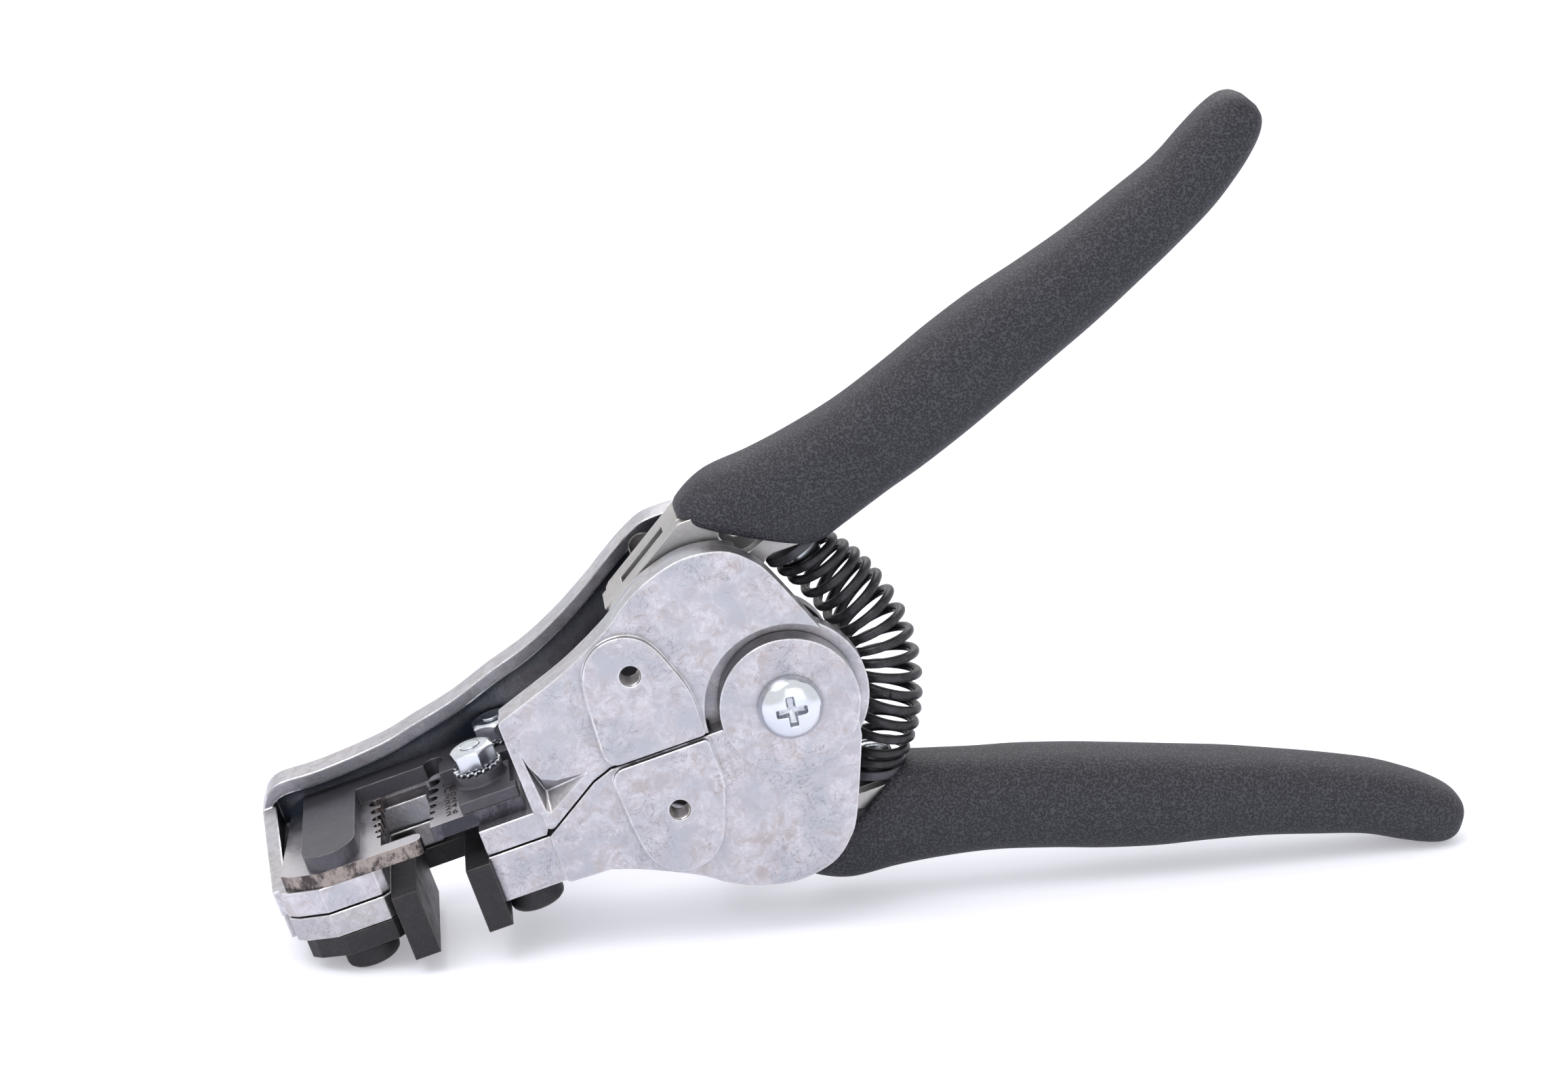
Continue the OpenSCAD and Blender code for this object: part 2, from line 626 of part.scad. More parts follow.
// The finger plate: a finger on the left blade, a bar behind the mouth, a leg under the far nut
finger_right = stack_right - finger_t * 0.9;
finger_left = finger_right - finger_w;
bar_front = 7.2;
leg_left = right_edge + 2.7;
leg_front = 1.6;
plate_end_x = nose_front + nose_w * 0.96;
window_relief_r = 1.6;
module blade_finger_plate() color("#3a3a3e") difference() {
    slab(blade_top, finger_top) polygon(concat([[plate_end_x, leg_front], [plate_end_x, hook_front]],
        [[finger_left, hook_front]],
        [for (a = [180:15:360]) [finger_left + finger_w / 2 + finger_w / 2 * cos(a),
            -face_depth + finger_w / 2 + finger_w / 2 * sin(a)]],
        [[finger_right, bar_front], [leg_left, bar_front], [leg_left, leg_front]]));
    post(window_relief_r, blade_top - over, finger_top + over, leg_left - window_relief_r * 0.6, bar_front);
    post(stud_r, blade_top - over, finger_top + over, far_stud_x, far_stud_y);
}

stud_r = 1.5;
near_stud_x = nose_front + nose_w * 0.237;
near_stud_y = -4;
far_stud_x = nose_front + nose_w * 0.588;
far_stud_y = 8;
far_lug_left = nose_front + nose_w * 0.237;
far_lug_right = nose_front + nose_w * 0.907;
far_lug_front = 4.5;
clamp_h = 1.8;
post_r = 3.8;
post_h = 3.6;
// Square foot of the clamp post, and the bar that holds the blade's near end
post_foot = 4.4;
bar_inset = 2.7;
bar_w = 2.6;
module blade_clamp_block() color("#3a3a3e") difference() {
    union() {
        block(right_edge + bar_inset, blade_rear_x - clear_blade, blade_front, blade_front + bar_w,
            blade_top - clear_blade, blade_top + clamp_h);
        block(near_stud_x - post_foot, near_stud_x + post_foot, blade_front, near_stud_y + post_r,
            blade_top - clear_blade, blade_top + clamp_h);
        post(post_r, blade_top + clamp_h - weld, blade_top + post_h, near_stud_x, near_stud_y);
    }
    post(stud_r, blade_top - over, blade_top + post_h + over, near_stud_x, near_stud_y);
}

washer_t = 0.7;
washer_r = 3.7;
tooth_count = 14;
clamp_nut_h = 3;
clamp_nut_r = 3.7;
module clamp_stud(x, y, foot, top) post(stud_r, foot, top, x, y);
module lock_washer(x, y, foot) difference() {
    union() {
        post(washer_r * 0.84, foot, foot + washer_t, x, y);
        // Teeth stand out round the rim
        for (i = [0:tooth_count - 1]) translate([x, y, foot]) rotate(360 * i / tooth_count)
            translate([washer_r * 0.7, -washer_r * 0.1, 0]) cube([washer_r * 0.32, washer_r * 0.2, washer_t]);
    }
    post(stud_r, foot - over, foot + washer_t + over, x, y);
}
module clamp_nut(x, y, foot) difference() {
    intersection() {
        post(clamp_nut_r, foot, foot + clamp_nut_h, x, y, nut_sides);
        translate([x, y, foot]) rotate_extrude($fn = rounds) polygon([[0, 0], [clamp_nut_r * 1.02, 0],
            [clamp_nut_r * 1.02, clamp_nut_h * 0.8], [clamp_nut_r * 0.86, clamp_nut_h], [0, clamp_nut_h]]);
    }
    post(stud_r, foot - over, foot + clamp_nut_h + over, x, y);
}
near_washer_z = blade_top + post_h;
far_washer_z = finger_top;
stud_end = 0.2;
module near_clamp_stud() color("lightsteelblue")
    clamp_stud(near_stud_x, near_stud_y, upper_floor + weld,
        near_washer_z + washer_t + clamp_nut_h + stud_end);
module far_clamp_stud() color("lightsteelblue")
    clamp_stud(far_stud_x, far_stud_y, blade_seat + slide_gap,
        far_washer_z + washer_t + clamp_nut_h + stud_end);
module near_lock_washer() color("silver") lock_washer(near_stud_x, near_stud_y, near_washer_z);
module far_lock_washer() color("silver") lock_washer(far_stud_x, far_stud_y, far_washer_z);
module near_clamp_nut() color("lightsteelblue") clamp_nut(near_stud_x, near_stud_y, near_washer_z + washer_t);
module far_clamp_nut() color("lightsteelblue") clamp_nut(far_stud_x, far_stud_y, far_washer_z + washer_t);

pad_front = -face_depth - 1.2;
pad_back = 6;
module left_gripper_pad() color("#33302c")
    block(stack_right, left_pad_face, pad_front - 0.6, pad_back, pad_foot, pad_top);
module right_gripper_pad() color("#33302c")
    block(pad_contact, nose_front, pad_front, pad_back, pad_foot, pad_top);

left_screw_x = stack_left + jaw_w * 0.6;
right_screw_x = nose_front + nose_w * 0.44;
jaw_screw_y = -9.4;
gripper_bar_front = 7.5;
module gripper_plate() color("#33302c") difference() {
    union() {
        slab(gripper_foot, gripper_top)
            polygon(jaw_outline(stack_left + end_wall_t / 2, stack_right, hook_front));
        slab(gripper_foot, gripper_top) translate([stack_right - plate_corner, gripper_bar_front])
            square([plate_end_x - 3 - stack_right + plate_corner, hook_front - gripper_bar_front]);
    }
    post(screw_shank_r, gripper_foot - over, gripper_top + over, left_screw_x, jaw_screw_y);
}

// Round head with a softened rim
module jaw_screw(x, seat, top) color("#26262a") {
    translate([x, jaw_screw_y, seat]) mirror([0, 0, 1]) rotate_extrude($fn = rounds) polygon([[0, 0],
        [screw_head_r, 0], [screw_head_r, screw_head_h * 0.78], [screw_head_r * 0.97, screw_head_h * 0.9],
        [screw_head_r * 0.88, screw_head_h], [0, screw_head_h]]);
    post(screw_shank_r, seat - weld, top, x, jaw_screw_y);
}
module left_jaw_screw() jaw_screw(left_screw_x, gripper_foot, lower_roof - over);
module right_jaw_screw() jaw_screw(right_screw_x, nose_foot, lower_roof - over);

// Handles: tables of shares of the reach, the rise and the half width.
// Each grip station: inner edge along and across, outer edge along and across, half width
grip_share = [[0.183, 0.38, 0.106, 0.88, 0.76], [0.187, 0.32, 0.1, 0.945, 0.87],
    [0.203, 0.291, 0.113, 0.985, 0.94], [0.233, 0.262, 0.163, 0.965, 0.95], [0.269, 0.23, 0.221, 0.855, 0.96],
    [0.305, 0.197, 0.278, 0.762, 0.97], [0.358, 0.142, 0.349, 0.667, 0.98], [0.43, 0.081, 0.43, 0.592, 1],
    [0.502, 0.029, 0.502, 0.537, 1], [0.573, -0.019, 0.573, 0.469, 1], [0.645, -0.068, 0.645, 0.382, 0.98],
    [0.717, -0.107, 0.717, 0.304, 0.93], [0.789, -0.142, 0.789, 0.243, 0.88],
    [0.86, -0.165, 0.86, 0.188, 0.84], [0.914, -0.159, 0.914, 0.178, 0.8],
    [0.95, -0.142, 0.95, 0.168, 0.76], [0.977, -0.116, 0.977, 0.149, 0.66],
    [0.993, -0.078, 0.993, 0.11, 0.51], [1, -0.026, 1, 0.052, 0.27]];
// The tang inside the grip: along, inner edge and outer edge
tang_share = [[0.789, -0.071, 0.168], [0.645, 0.003, 0.311], [0.502, 0.1, 0.466],
    [0.358, 0.213, 0.586], [0.233, 0.337, 0.72]];
lever_share = [[-0.076, 0.033], [0.076, -0.023], [0.105, 0.4], [0.127, 0.518], [0.2025, 0.343]];
nose_share = [[0.179, 0.83], [0.115, 0.905], [0.098, 0.945], [-0.061, 0.945], [-0.061, 0.64]];
// Window in the lever's plates, between its nose and its tang
window_share = [[0.111, 0.59], [0.111, 0.77], [0.16, 0.76], [0.2, 0.67], [0.205, 0.57], [0.16, 0.555]];
// Slot in the web at the nose, as shares of the reach and of the lever's width
web_slot_share = [[-0.02, 0.36], [0.07, 0.64]];
function handle_point(s) = [s.x * handle_reach, s.y * grip_rise];
window_outline = [for (s = window_share) handle_point(s)];
tang_inner = [for (i = [len(tang_share) - 1:-1:0]) handle_point([tang_share[i].x, tang_share[i].y])];
tang_outer = [for (s = tang_share) handle_point([s.x, s.z])];
lever_outline = concat([for (s = lever_share) handle_point(s)], tang_inner, tang_outer,
    [for (s = nose_share) handle_point(s)]);
web_line = concat(tang_outer, [for (i = [0:3]) handle_point(nose_share[i]) + (i == 3 ? [weld, 0] : [0, 0])]);

// Turns a piece from the handle's own directions to the open tool's
module opened(side) mirror([0, 0, side > 0 ? 0 : 1]) rotate([0, -open_angle, 0]) children();

// Room for the spring's seat, cut into the lever and the grip
module seat_room(side) mirror([0, 0, side > 0 ? 0 : 1])
    post(seat_r + slide_gap, spring_half - seat_t, spring_half + seat_t, seat_reach, spring_y);

module lever(side, front) difference() {
    opened(side) lever_blank(front);
    seat_room(side);
}
module lever_blank(front) difference() {
    union() {
        for (y = [front, front + lever_w - lever_t]) plate(y, y + lever_t) {
            polygon(softened(lever_outline, plate_corner, 3));
            circle(r = eye_d / 2, $fn = 64);
        }
        // Web that closes the channel along its outer edge
        plate(front + lever_t - weld, front + lever_w - lever_t + weld) polygon(concat(
            web_line, [for (i = [len(web_line) - 1:-1:0]) web_line[i] - [0, lever_t]]));
    }
    block(web_slot_share[0].x * handle_reach, web_slot_share[1].x * handle_reach,
        front + web_slot_share[0].y * lever_w, front + web_slot_share[1].y * lever_w,
        grip_rise * nose_share[3].y - lever_t - over, grip_rise);
    rod(bush_r + run_gap, front - over, front + lever_w + over, n = 64);
    rod(link_d / 2, front - over, front + lever_w + over, -link_back, link_rise);
    plate(front - over, front + lever_w + over) polygon(softened(window_outline, plate_corner, 3));
}
module upper_lever() color("gainsboro") lever(1, upper_lever_front);
module lower_lever() color("gainsboro") lever(-1, lower_lever_front);

link_head_r = 2.9;
link_head_h = 1.4;
module link_pin(side, front) opened(side) {
    rod(link_d / 2, front, hook_back + slide_gap, -link_back, link_rise);
    rod(link_head_r, hook_back + slide_gap, hook_back + slide_gap + link_head_h, -link_back, link_rise);
}
module upper_link_pin() color("silver") link_pin(1, upper_lever_front);
module lower_link_pin() color("silver") link_pin(-1, lower_lever_front);

// A flange under the coil, and a boss that keeps the coil in place
module spring_seat(side) mirror([0, 0, side > 0 ? 0 : 1]) {
    post(seat_r, spring_half, spring_half + seat_t, seat_reach, spring_y);
    post(seat_boss_r, spring_half - seat_boss_h, spring_half + weld, seat_reach, spring_y);
}
module upper_spring_seat() color("#222226") spring_seat(1);
module lower_spring_seat() color("#222226") spring_seat(-1);

// Grips: a closed skin over rounded sections, with the tang's room cut out
grip_sides = 20;
section_power = 2.7;
function bulge(v) = sign(v) * pow(abs(v), 2 / section_power);
function station(i) = grip_share[max(0, min(len(grip_share) - 1, i))];
grip_stations = concat([for (i = [0:len(grip_share) - 2], t = [0, 0.5])
    blend_station(station(i - 1), station(i), station(i + 1), station(i + 2), t)],
    [grip_share[len(grip_share) - 1]]);
function grip_ring(s, middle_y) =
    let (inner = handle_point([s[0], s[1]]), outer = handle_point([s[2], s[3]]),
        middle = (inner + outer) / 2, reach = (outer - inner) / 2)
    [for (k = [0:grip_sides - 1]) let (a = 360 * k / grip_sides,
        across = bulge(cos(a)), wide = bulge(sin(a)))
        [middle.x + reach.x * across, middle_y + s[4] * grip_half * wide, middle.y + reach.y * across]];
module grip(side, front) difference() {
    opened(side) difference() {
        skin([for (s = grip_stations) grip_ring(s, front + lever_w / 2)]);
        plate(front, front + lever_w) polygon(softened(lever_outline, plate_corner, 3));
    }
    seat_room(side);
}
module upper_grip() color("#2b2b2e") grip(1, upper_lever_front);
module lower_grip() color("#2b2b2e") grip(-1, lower_lever_front);

// Return spring: one tube along a bowed line, its turns fanned out at the middle
rings_a_turn = 8;
tube_sides = 6;
tight_turns = 2;
tight_share = 1.6;
tight_pitch = wire_d * tight_share;
spring_run = 2 * bow_r * bow_half_angle * PI / 180;
open_run = spring_run - wire_d * 3 - tight_turns * 2 * tight_pitch;
open_turns = coil_turns - tight_turns * 2;
open_pitch = open_run / open_turns;
function run_at(turn) = wire_d * 1.5 + (turn < tight_turns ? turn * tight_pitch
    : turn < tight_turns + open_turns ? tight_turns * tight_pitch + (turn - tight_turns) * open_pitch
    : tight_turns * tight_pitch + open_run + (turn - tight_turns - open_turns) * tight_pitch);
function coil_point(turn) = let (bend = bow_half_angle * (1 - 2 * run_at(turn) / spring_run),
        fan = fan_angle * sin(180 * bend / bow_half_angle), round = 360 * turn)
    [bow_x + bow_r * cos(bend) + coil_r * cos(round) * cos(fan), spring_y + coil_r * sin(round),
        bow_r * sin(bend) + coil_r * cos(round) * sin(fan)];
coil_line = [for (k = [0:coil_turns * rings_a_turn]) coil_point(k / rings_a_turn)];
first_coil = coil_line[0];
last_coil = coil_line[len(coil_line) - 1];
spring_line = concat([[first_coil.x, first_coil.y, spring_half]], [[first_coil.x, first_coil.y,
    spring_half - wire_d]], [for (k = [2:len(coil_line) - 3]) coil_line[k]],
    [[last_coil.x, last_coil.y, wire_d - spring_half]], [[last_coil.x, last_coil.y, -spring_half]]);
function along(line, i) = i == 0 || i == len(line) - 1 ? [0, 0, -1]
    : unit(line[min(len(line) - 1, i + 1)] - line[max(0, i - 1)]);
function tube_ring(line, i) = let (t = i == 1 || i == len(line) - 2 ? [0, 0, -1] : along(line, i),
        side = unit(cross(t, [line[i].x - seat_reach, line[i].y - spring_y, 0.01])),
        up = cross(side, t))
    [for (k = [0:tube_sides - 1]) let (a = 360 * k / tube_sides)
        line[i] + wire_r * (side * cos(a) + up * sin(a))];
spring_gap = min([for (i = [0:len(spring_line) - 1], j = [i + 6:1:len(spring_line) - 1])
    norm(spring_line[i] - spring_line[j])]) - wire_d;
module return_spring() color("#222226") {
    echo(least_spring_gap = spring_gap, lean = lean, left = leftmost, right = rightmost, low = lowest,
        near = near_most, far = far_most);
    skin([for (i = [0:len(spring_line) - 1]) tube_ring(spring_line, i)]);
}

// How the open tool stands: on the left jaw screw's rim and on the lower grip
foot_jaw = [left_screw_x - screw_head_r * 0.97, gripper_foot - screw_head_h * 0.9];
function turned(p, a) = [p.x * cos(a) - p.y * sin(a), p.x * sin(a) + p.y * cos(a)];
grip_outer = [for (s = grip_stations) turned(handle_point([s[2], s[3]]), open_angle)];
grip_inner = [for (s = grip_stations) turned(handle_point([s[0], s[1]]), open_angle)];
tip_outer = [for (p = grip_outer) if (p.x > handle_reach * 0.6) [p.x, -p.y]];
lean = min([for (p = tip_outer) atan2(foot_jaw.y - p.y, p.x - foot_jaw.x) * -1]) * -1;
function stood(p) = turned(p, lean);
lowest = min(concat([for (p = tip_outer) stood(p).y], [for (p = grip_outer) stood([p.x, -p.y]).y],
    [stood(foot_jaw).y]));
rightmost = max(concat([for (p = tip_outer) stood(p).x], [for (p = grip_inner) stood([p.x, -p.y]).x]));
leftmost = min(stood([hook_left, hook_corner_z]).x, min([for (p = hook_top) stood(p).x]),
    stood([hook_left, upper_floor]).x,
    stood([hook_left, layer_foot - rim_t]).x);
near_most = near_face - disc_rise - pivot_head_h;
far_most = hook_back + slide_gap + guide_head_h;
module standing() translate([-(leftmost + rightmost) / 2, -(near_most + far_most) / 2, -lowest])
    rotate([0, -lean, 0]) children();

standing() near_lower_casting();
standing() near_upper_casting();
standing() pivot_screw();
standing() pivot_bush();
standing() pivot_nut();
standing() pivot_spacers();
standing() lower_side_plate();
standing() upper_side_plate();
standing() lower_guide_screws();
standing() upper_guide_screws();
standing() lower_hook_casting();
standing() upper_hook_casting();
standing() left_blade();
standing() right_blade();
standing() blade_finger_plate();
standing() blade_clamp_block();
standing() near_clamp_stud();
standing() near_lock_washer();
standing() near_clamp_nut();
standing() far_clamp_stud();
standing() far_lock_washer();
standing() far_clamp_nut();
standing() left_gripper_pad();
standing() right_gripper_pad();
standing() gripper_plate();
standing() left_jaw_screw();
standing() right_jaw_screw();
standing() upper_lever();
standing() lower_lever();
standing() upper_link_pin();
standing() lower_link_pin();
standing() upper_spring_seat();
standing() lower_spring_seat();
standing() return_spring();
standing() upper_grip();
standing() lower_grip();
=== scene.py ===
import json
import math

import bmesh
import bpy
import numpy as np
from mathutils import Matrix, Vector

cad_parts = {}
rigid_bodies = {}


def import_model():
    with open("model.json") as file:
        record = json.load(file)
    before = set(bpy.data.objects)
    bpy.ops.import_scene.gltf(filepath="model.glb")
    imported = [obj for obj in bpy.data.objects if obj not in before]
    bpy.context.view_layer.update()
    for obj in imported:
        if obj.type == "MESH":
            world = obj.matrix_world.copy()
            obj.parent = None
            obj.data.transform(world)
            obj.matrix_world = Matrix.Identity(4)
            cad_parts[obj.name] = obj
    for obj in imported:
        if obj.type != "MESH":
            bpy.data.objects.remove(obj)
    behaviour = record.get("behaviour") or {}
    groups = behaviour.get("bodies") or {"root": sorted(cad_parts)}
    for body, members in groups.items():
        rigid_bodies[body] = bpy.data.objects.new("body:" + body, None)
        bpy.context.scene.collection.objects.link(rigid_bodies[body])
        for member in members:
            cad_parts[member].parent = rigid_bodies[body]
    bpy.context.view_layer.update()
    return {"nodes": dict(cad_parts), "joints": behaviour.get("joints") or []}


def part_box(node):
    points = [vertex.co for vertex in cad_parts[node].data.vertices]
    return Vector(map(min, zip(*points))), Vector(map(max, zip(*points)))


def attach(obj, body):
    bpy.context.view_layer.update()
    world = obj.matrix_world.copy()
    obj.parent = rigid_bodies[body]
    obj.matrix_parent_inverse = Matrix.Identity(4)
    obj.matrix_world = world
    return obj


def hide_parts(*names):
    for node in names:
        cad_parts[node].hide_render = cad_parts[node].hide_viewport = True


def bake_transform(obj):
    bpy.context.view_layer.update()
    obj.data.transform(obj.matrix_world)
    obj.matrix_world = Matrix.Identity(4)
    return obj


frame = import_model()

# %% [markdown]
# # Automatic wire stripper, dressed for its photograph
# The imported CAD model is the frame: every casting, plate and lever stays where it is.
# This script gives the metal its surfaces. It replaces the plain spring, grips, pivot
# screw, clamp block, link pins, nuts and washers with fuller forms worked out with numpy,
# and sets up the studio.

MM = 0.001

# %% [markdown]
# The tool is drawn in its own frame: u runs from the jaws to the handles, v through the
# thickness away from the viewer, w along the wire. The pivot is the origin. The lean of
# that frame comes from the slide joint's axis, and the origin from the pivot's nut, so the
# new pieces land on the CAD model without a copied number for where it stands.

# %% From tool millimetres to the row frame
slide = next(j for j in frame["joints"] if j["name"] == "upper_hook_slide")
LEAN = math.atan2(slide["axis"][2], slide["axis"][0])
pivot = next(j for j in frame["joints"] if j["name"] == "frame_spread")["pos_m"]
NUT_BACK = 15.0  # the pivot nut's far face, in tool millimetres
ORIGIN = np.array([pivot[0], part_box("pivot_nut")[1][1] - NUT_BACK * MM, pivot[2]])
TURN = np.array([[math.cos(LEAN), 0, -math.sin(LEAN)], [0, 1, 0], [math.sin(LEAN), 0, math.cos(LEAN)]])
OPEN = math.radians(33)
print("lean, degrees:", round(math.degrees(LEAN), 3), "pivot, mm:", np.round(ORIGIN / MM, 2))


def to_row(points):
    """Row-frame metres of tool points in millimetres: p' = R(lean) p / 1000 + origin."""
    return np.asarray(points, float) @ TURN.T * MM + ORIGIN


def handle_to_tool(points, side):
    """Handle (u, v, outward) to tool: a turn by the open angle, mirrored for the lower handle."""
    p = np.asarray(points, float)
    c, s = math.cos(OPEN), math.sin(OPEN)
    return np.stack([p[..., 0] * c - p[..., 2] * s, p[..., 1], side * (p[..., 0] * s + p[..., 2] * c)], -1)


# %% [markdown]
# ## The camera
# It was solved from the photograph: its place and its three axes are given in the tool's
# frame, so the picture matches however the tool stands.

# %% Camera
CAMERA_AT = (9.80, -529.72, 199.51)
CAMERA_AXES = np.array([[0.94276, -0.10320, -0.31711], [-0.33345, -0.30461, -0.89220],
                        [-0.00452, 0.94687, -0.32159]])
FOCAL_PIXELS, PICTURE_PIXELS = 5452, 2313
cam_data = bpy.data.cameras.new("camera")
cam = bpy.data.objects.new("camera", cam_data)
bpy.context.scene.collection.objects.link(cam)
bpy.context.scene.camera = cam
cam_data.sensor_width = 36
cam_data.lens = FOCAL_PIXELS / PICTURE_PIXELS * cam_data.sensor_width
cam_data.clip_start, cam_data.clip_end = 0.01, 50
place = np.eye(4)
place[:3, :3] = TURN @ np.stack([CAMERA_AXES[0], -CAMERA_AXES[1], -CAMERA_AXES[2]], 1)
place[:3, 3] = to_row(CAMERA_AT)
cam.matrix_world = Matrix(place.tolist())
print("lens, mm:", round(cam_data.lens, 1))

# %% [markdown]
# ## Mesh helpers
# Every new surface is a grid of points computed at once. A grid that is closed round its
# columns is a tube. Its ends close with a point in the middle, or its last ring joins the
# first, as on a nut with a bore. The sign of the volume then tells which way the faces
# point, and they are turned outwards. Blender's own primitives and modifiers could make
# some of these forms, but a formula keeps every size exact and easy to change.


# %% Grids of points to closed meshes
def grid_faces(rows, cols, wrap):
    """Quads (i, j), (i, j+1), (i+1, j+1), (i+1, j), with both counts taken round where they close."""
    i, j = np.meshgrid(np.arange(rows if wrap else rows - 1), np.arange(cols), indexing="ij")
    down, right = (i + 1) % rows, (j + 1) % cols
    return np.stack([i * cols + j, i * cols + right, down * cols + right, down * cols + j], -1).reshape(-1, 4)


def closed_mesh(rings, wrap=False):
    """Points and faces of a stack of rings, with a pole at each end or the last ring tied to the first."""
    rows, cols = rings.shape[:2]
    points, faces = rings.reshape(-1, 3), grid_faces(rows, cols, wrap).tolist()
    if not wrap:
        j = np.arange(cols)
        k = (j + 1) % cols
        first, last = rows * cols, rows * cols + 1
        points = np.concatenate([points, [rings[0].mean(0), rings[-1].mean(0)]])
        faces += np.stack([np.full(cols, first), k, j], -1).tolist()
        faces += np.stack([np.full(cols, last), j + (rows - 1) * cols, k + (rows - 1) * cols], -1).tolist()
    return points, faces


# %% Pieces that face outwards and ride on a body
def volume_of(mesh):
    """Signed volume: a third of the sum of a . (b x c) over the triangles, in cubic metres."""
    mesh.calc_loop_triangles()
    co, tri = np.empty(len(mesh.vertices) * 3), np.empty(len(mesh.loop_triangles) * 3, np.int32)
    mesh.vertices.foreach_get("co", co)
    mesh.loop_triangles.foreach_get("vertices", tri)
    a, b, c = co.reshape(-1, 3)[tri.reshape(-1, 3).T]
    return np.einsum("ij,ij->i", a - a[0], np.cross(b - a[0], c - a[0])).sum() / 6


def make_piece(name, points, faces, material, smooth=True):
    """An object at the origin from tool points: its place is in its mesh, its faces look outwards."""
    mesh = bpy.data.meshes.new(name)
    mesh.from_pydata(to_row(points).tolist(), [], faces)
    mesh.polygons.foreach_set("use_smooth", np.full(len(mesh.polygons), smooth))
    mesh.materials.append(material)
    if volume_of(mesh) < 0:
        mesh.flip_normals()
    made = bpy.data.objects.new(name, mesh)
    bpy.context.scene.collection.objects.link(made)
    print(f"{name}: {len(mesh.loop_triangles)} triangles, {abs(volume_of(mesh)) / MM**3:.1f} mm3")
    return made


def fit(piece, body, slot, *nodes):
    """The piece rides on a body and stands for the nodes it replaces. The slot is not used."""
    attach(piece, body)
    if nodes:
        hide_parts(*nodes)
    return piece


def sharpen(piece, degrees):
    """Smooth shading that breaks at edges steeper than the given angle."""
    piece.data.set_sharp_from_angle(angle=math.radians(degrees))


# %% [markdown]
# ## Shared node groups
# Effects that several finishes use are made once. Clouds and veins are what casting and tumbling leave on
# zinc. The edge mask compares the bevelled normal with the true one, so it finds the rims that wear bright,
# and the corner mask finds closed-in corners, which get a painted shade.


# %% Node helpers
def new_group(name, inputs, outputs):
    tree = bpy.data.node_groups.new(name, "ShaderNodeTree")
    for label, kind, value in inputs:
        tree.interface.new_socket(label, in_out="INPUT", socket_type=kind).default_value = value
    for label, kind in outputs:
        tree.interface.new_socket(label, in_out="OUTPUT", socket_type=kind)
    return tree, tree.nodes.new("NodeGroupInput"), tree.nodes.new("NodeGroupOutput")


def node(tree, kind, **settings):
    made = tree.nodes.new(kind)
    for key, value in settings.items():
        setattr(made, key, value)
    return made


def plug(tree, socket, value):
    """A link where the value is a socket, and a setting where it is a number or a colour."""
    if isinstance(value, (int, float)):
        socket.default_value = value
    elif isinstance(value, tuple):
        socket.default_value = (*value, 1.0) if len(socket.default_value) == 4 else value
    else:
        tree.links.new(value, socket)


# %% Maths, noise, colour and bump nodes
def calc(tree, operation, a, b=0.0, clamp=False):
    made = node(tree, "ShaderNodeMath", operation=operation, use_clamp=clamp)
    plug(tree, made.inputs[0], a)
    plug(tree, made.inputs[1], b)
    return made.outputs[0]


def remap(tree, value, lo_in, hi_in, lo_out=0.0, hi_out=1.0):
    made = node(tree, "ShaderNodeMapRange")
    for label, number in zip(("Value", "From Min", "From Max", "To Min", "To Max"),
                             (value, lo_in, hi_in, lo_out, hi_out)):
        plug(tree, made.inputs[label], number)
    return made.outputs["Result"]


def noise(tree, vector, scale, detail=4.0, rough=0.55, distortion=0.0):
    made = node(tree, "ShaderNodeTexNoise")
    for label, value in zip(("Vector", "Scale", "Detail", "Roughness", "Distortion"),
                            (vector, scale, detail, rough, distortion)):
        plug(tree, made.inputs[label], value)
    return made.outputs["Fac"]


def blend_colour(tree, share, a, b):
    made = node(tree, "ShaderNodeMix", data_type="RGBA")
    for socket, value in zip((made.inputs[0], made.inputs[6], made.inputs[7]), (share, a, b)):
        plug(tree, socket, value)
    return made.outputs[2]


def bump(tree, bsdf, height, distance, strength=1.0, normal=None):
    made = node(tree, "ShaderNodeBump")
    for label, value in (("Distance", distance), ("Strength", strength), ("Height", height)):
        plug(tree, made.inputs[label], value)
    if normal is not None:
        plug(tree, made.inputs["Normal"], normal)
    tree.links.new(made.outputs["Normal"], bsdf.inputs["Normal"])


# %% Cast surface: patches, clouds, speckle and veins
# Each noise is a scale, a detail, a roughness and a distortion. Then come the noise levels
# that are 0 and 1 in the mask.
CAST_MARKS = {
    "Patch": ((330, 8, 0.7, 0.7), (0.42, 0.62)),
    "Cloud": ((100, 5, 0.6, 0.6), (0.42, 0.62)),
    "Speckle": ((1500, 3, 0.6, 0.0), (0.35, 0.65)),
}
VEIN_NOISE, VEIN_HALF_WIDTH = (190, 7, 0.62, 1.8), 0.014
VEIN_PLACES = ((90, 3, 0.5, 0.0), (0.44, 0.6))


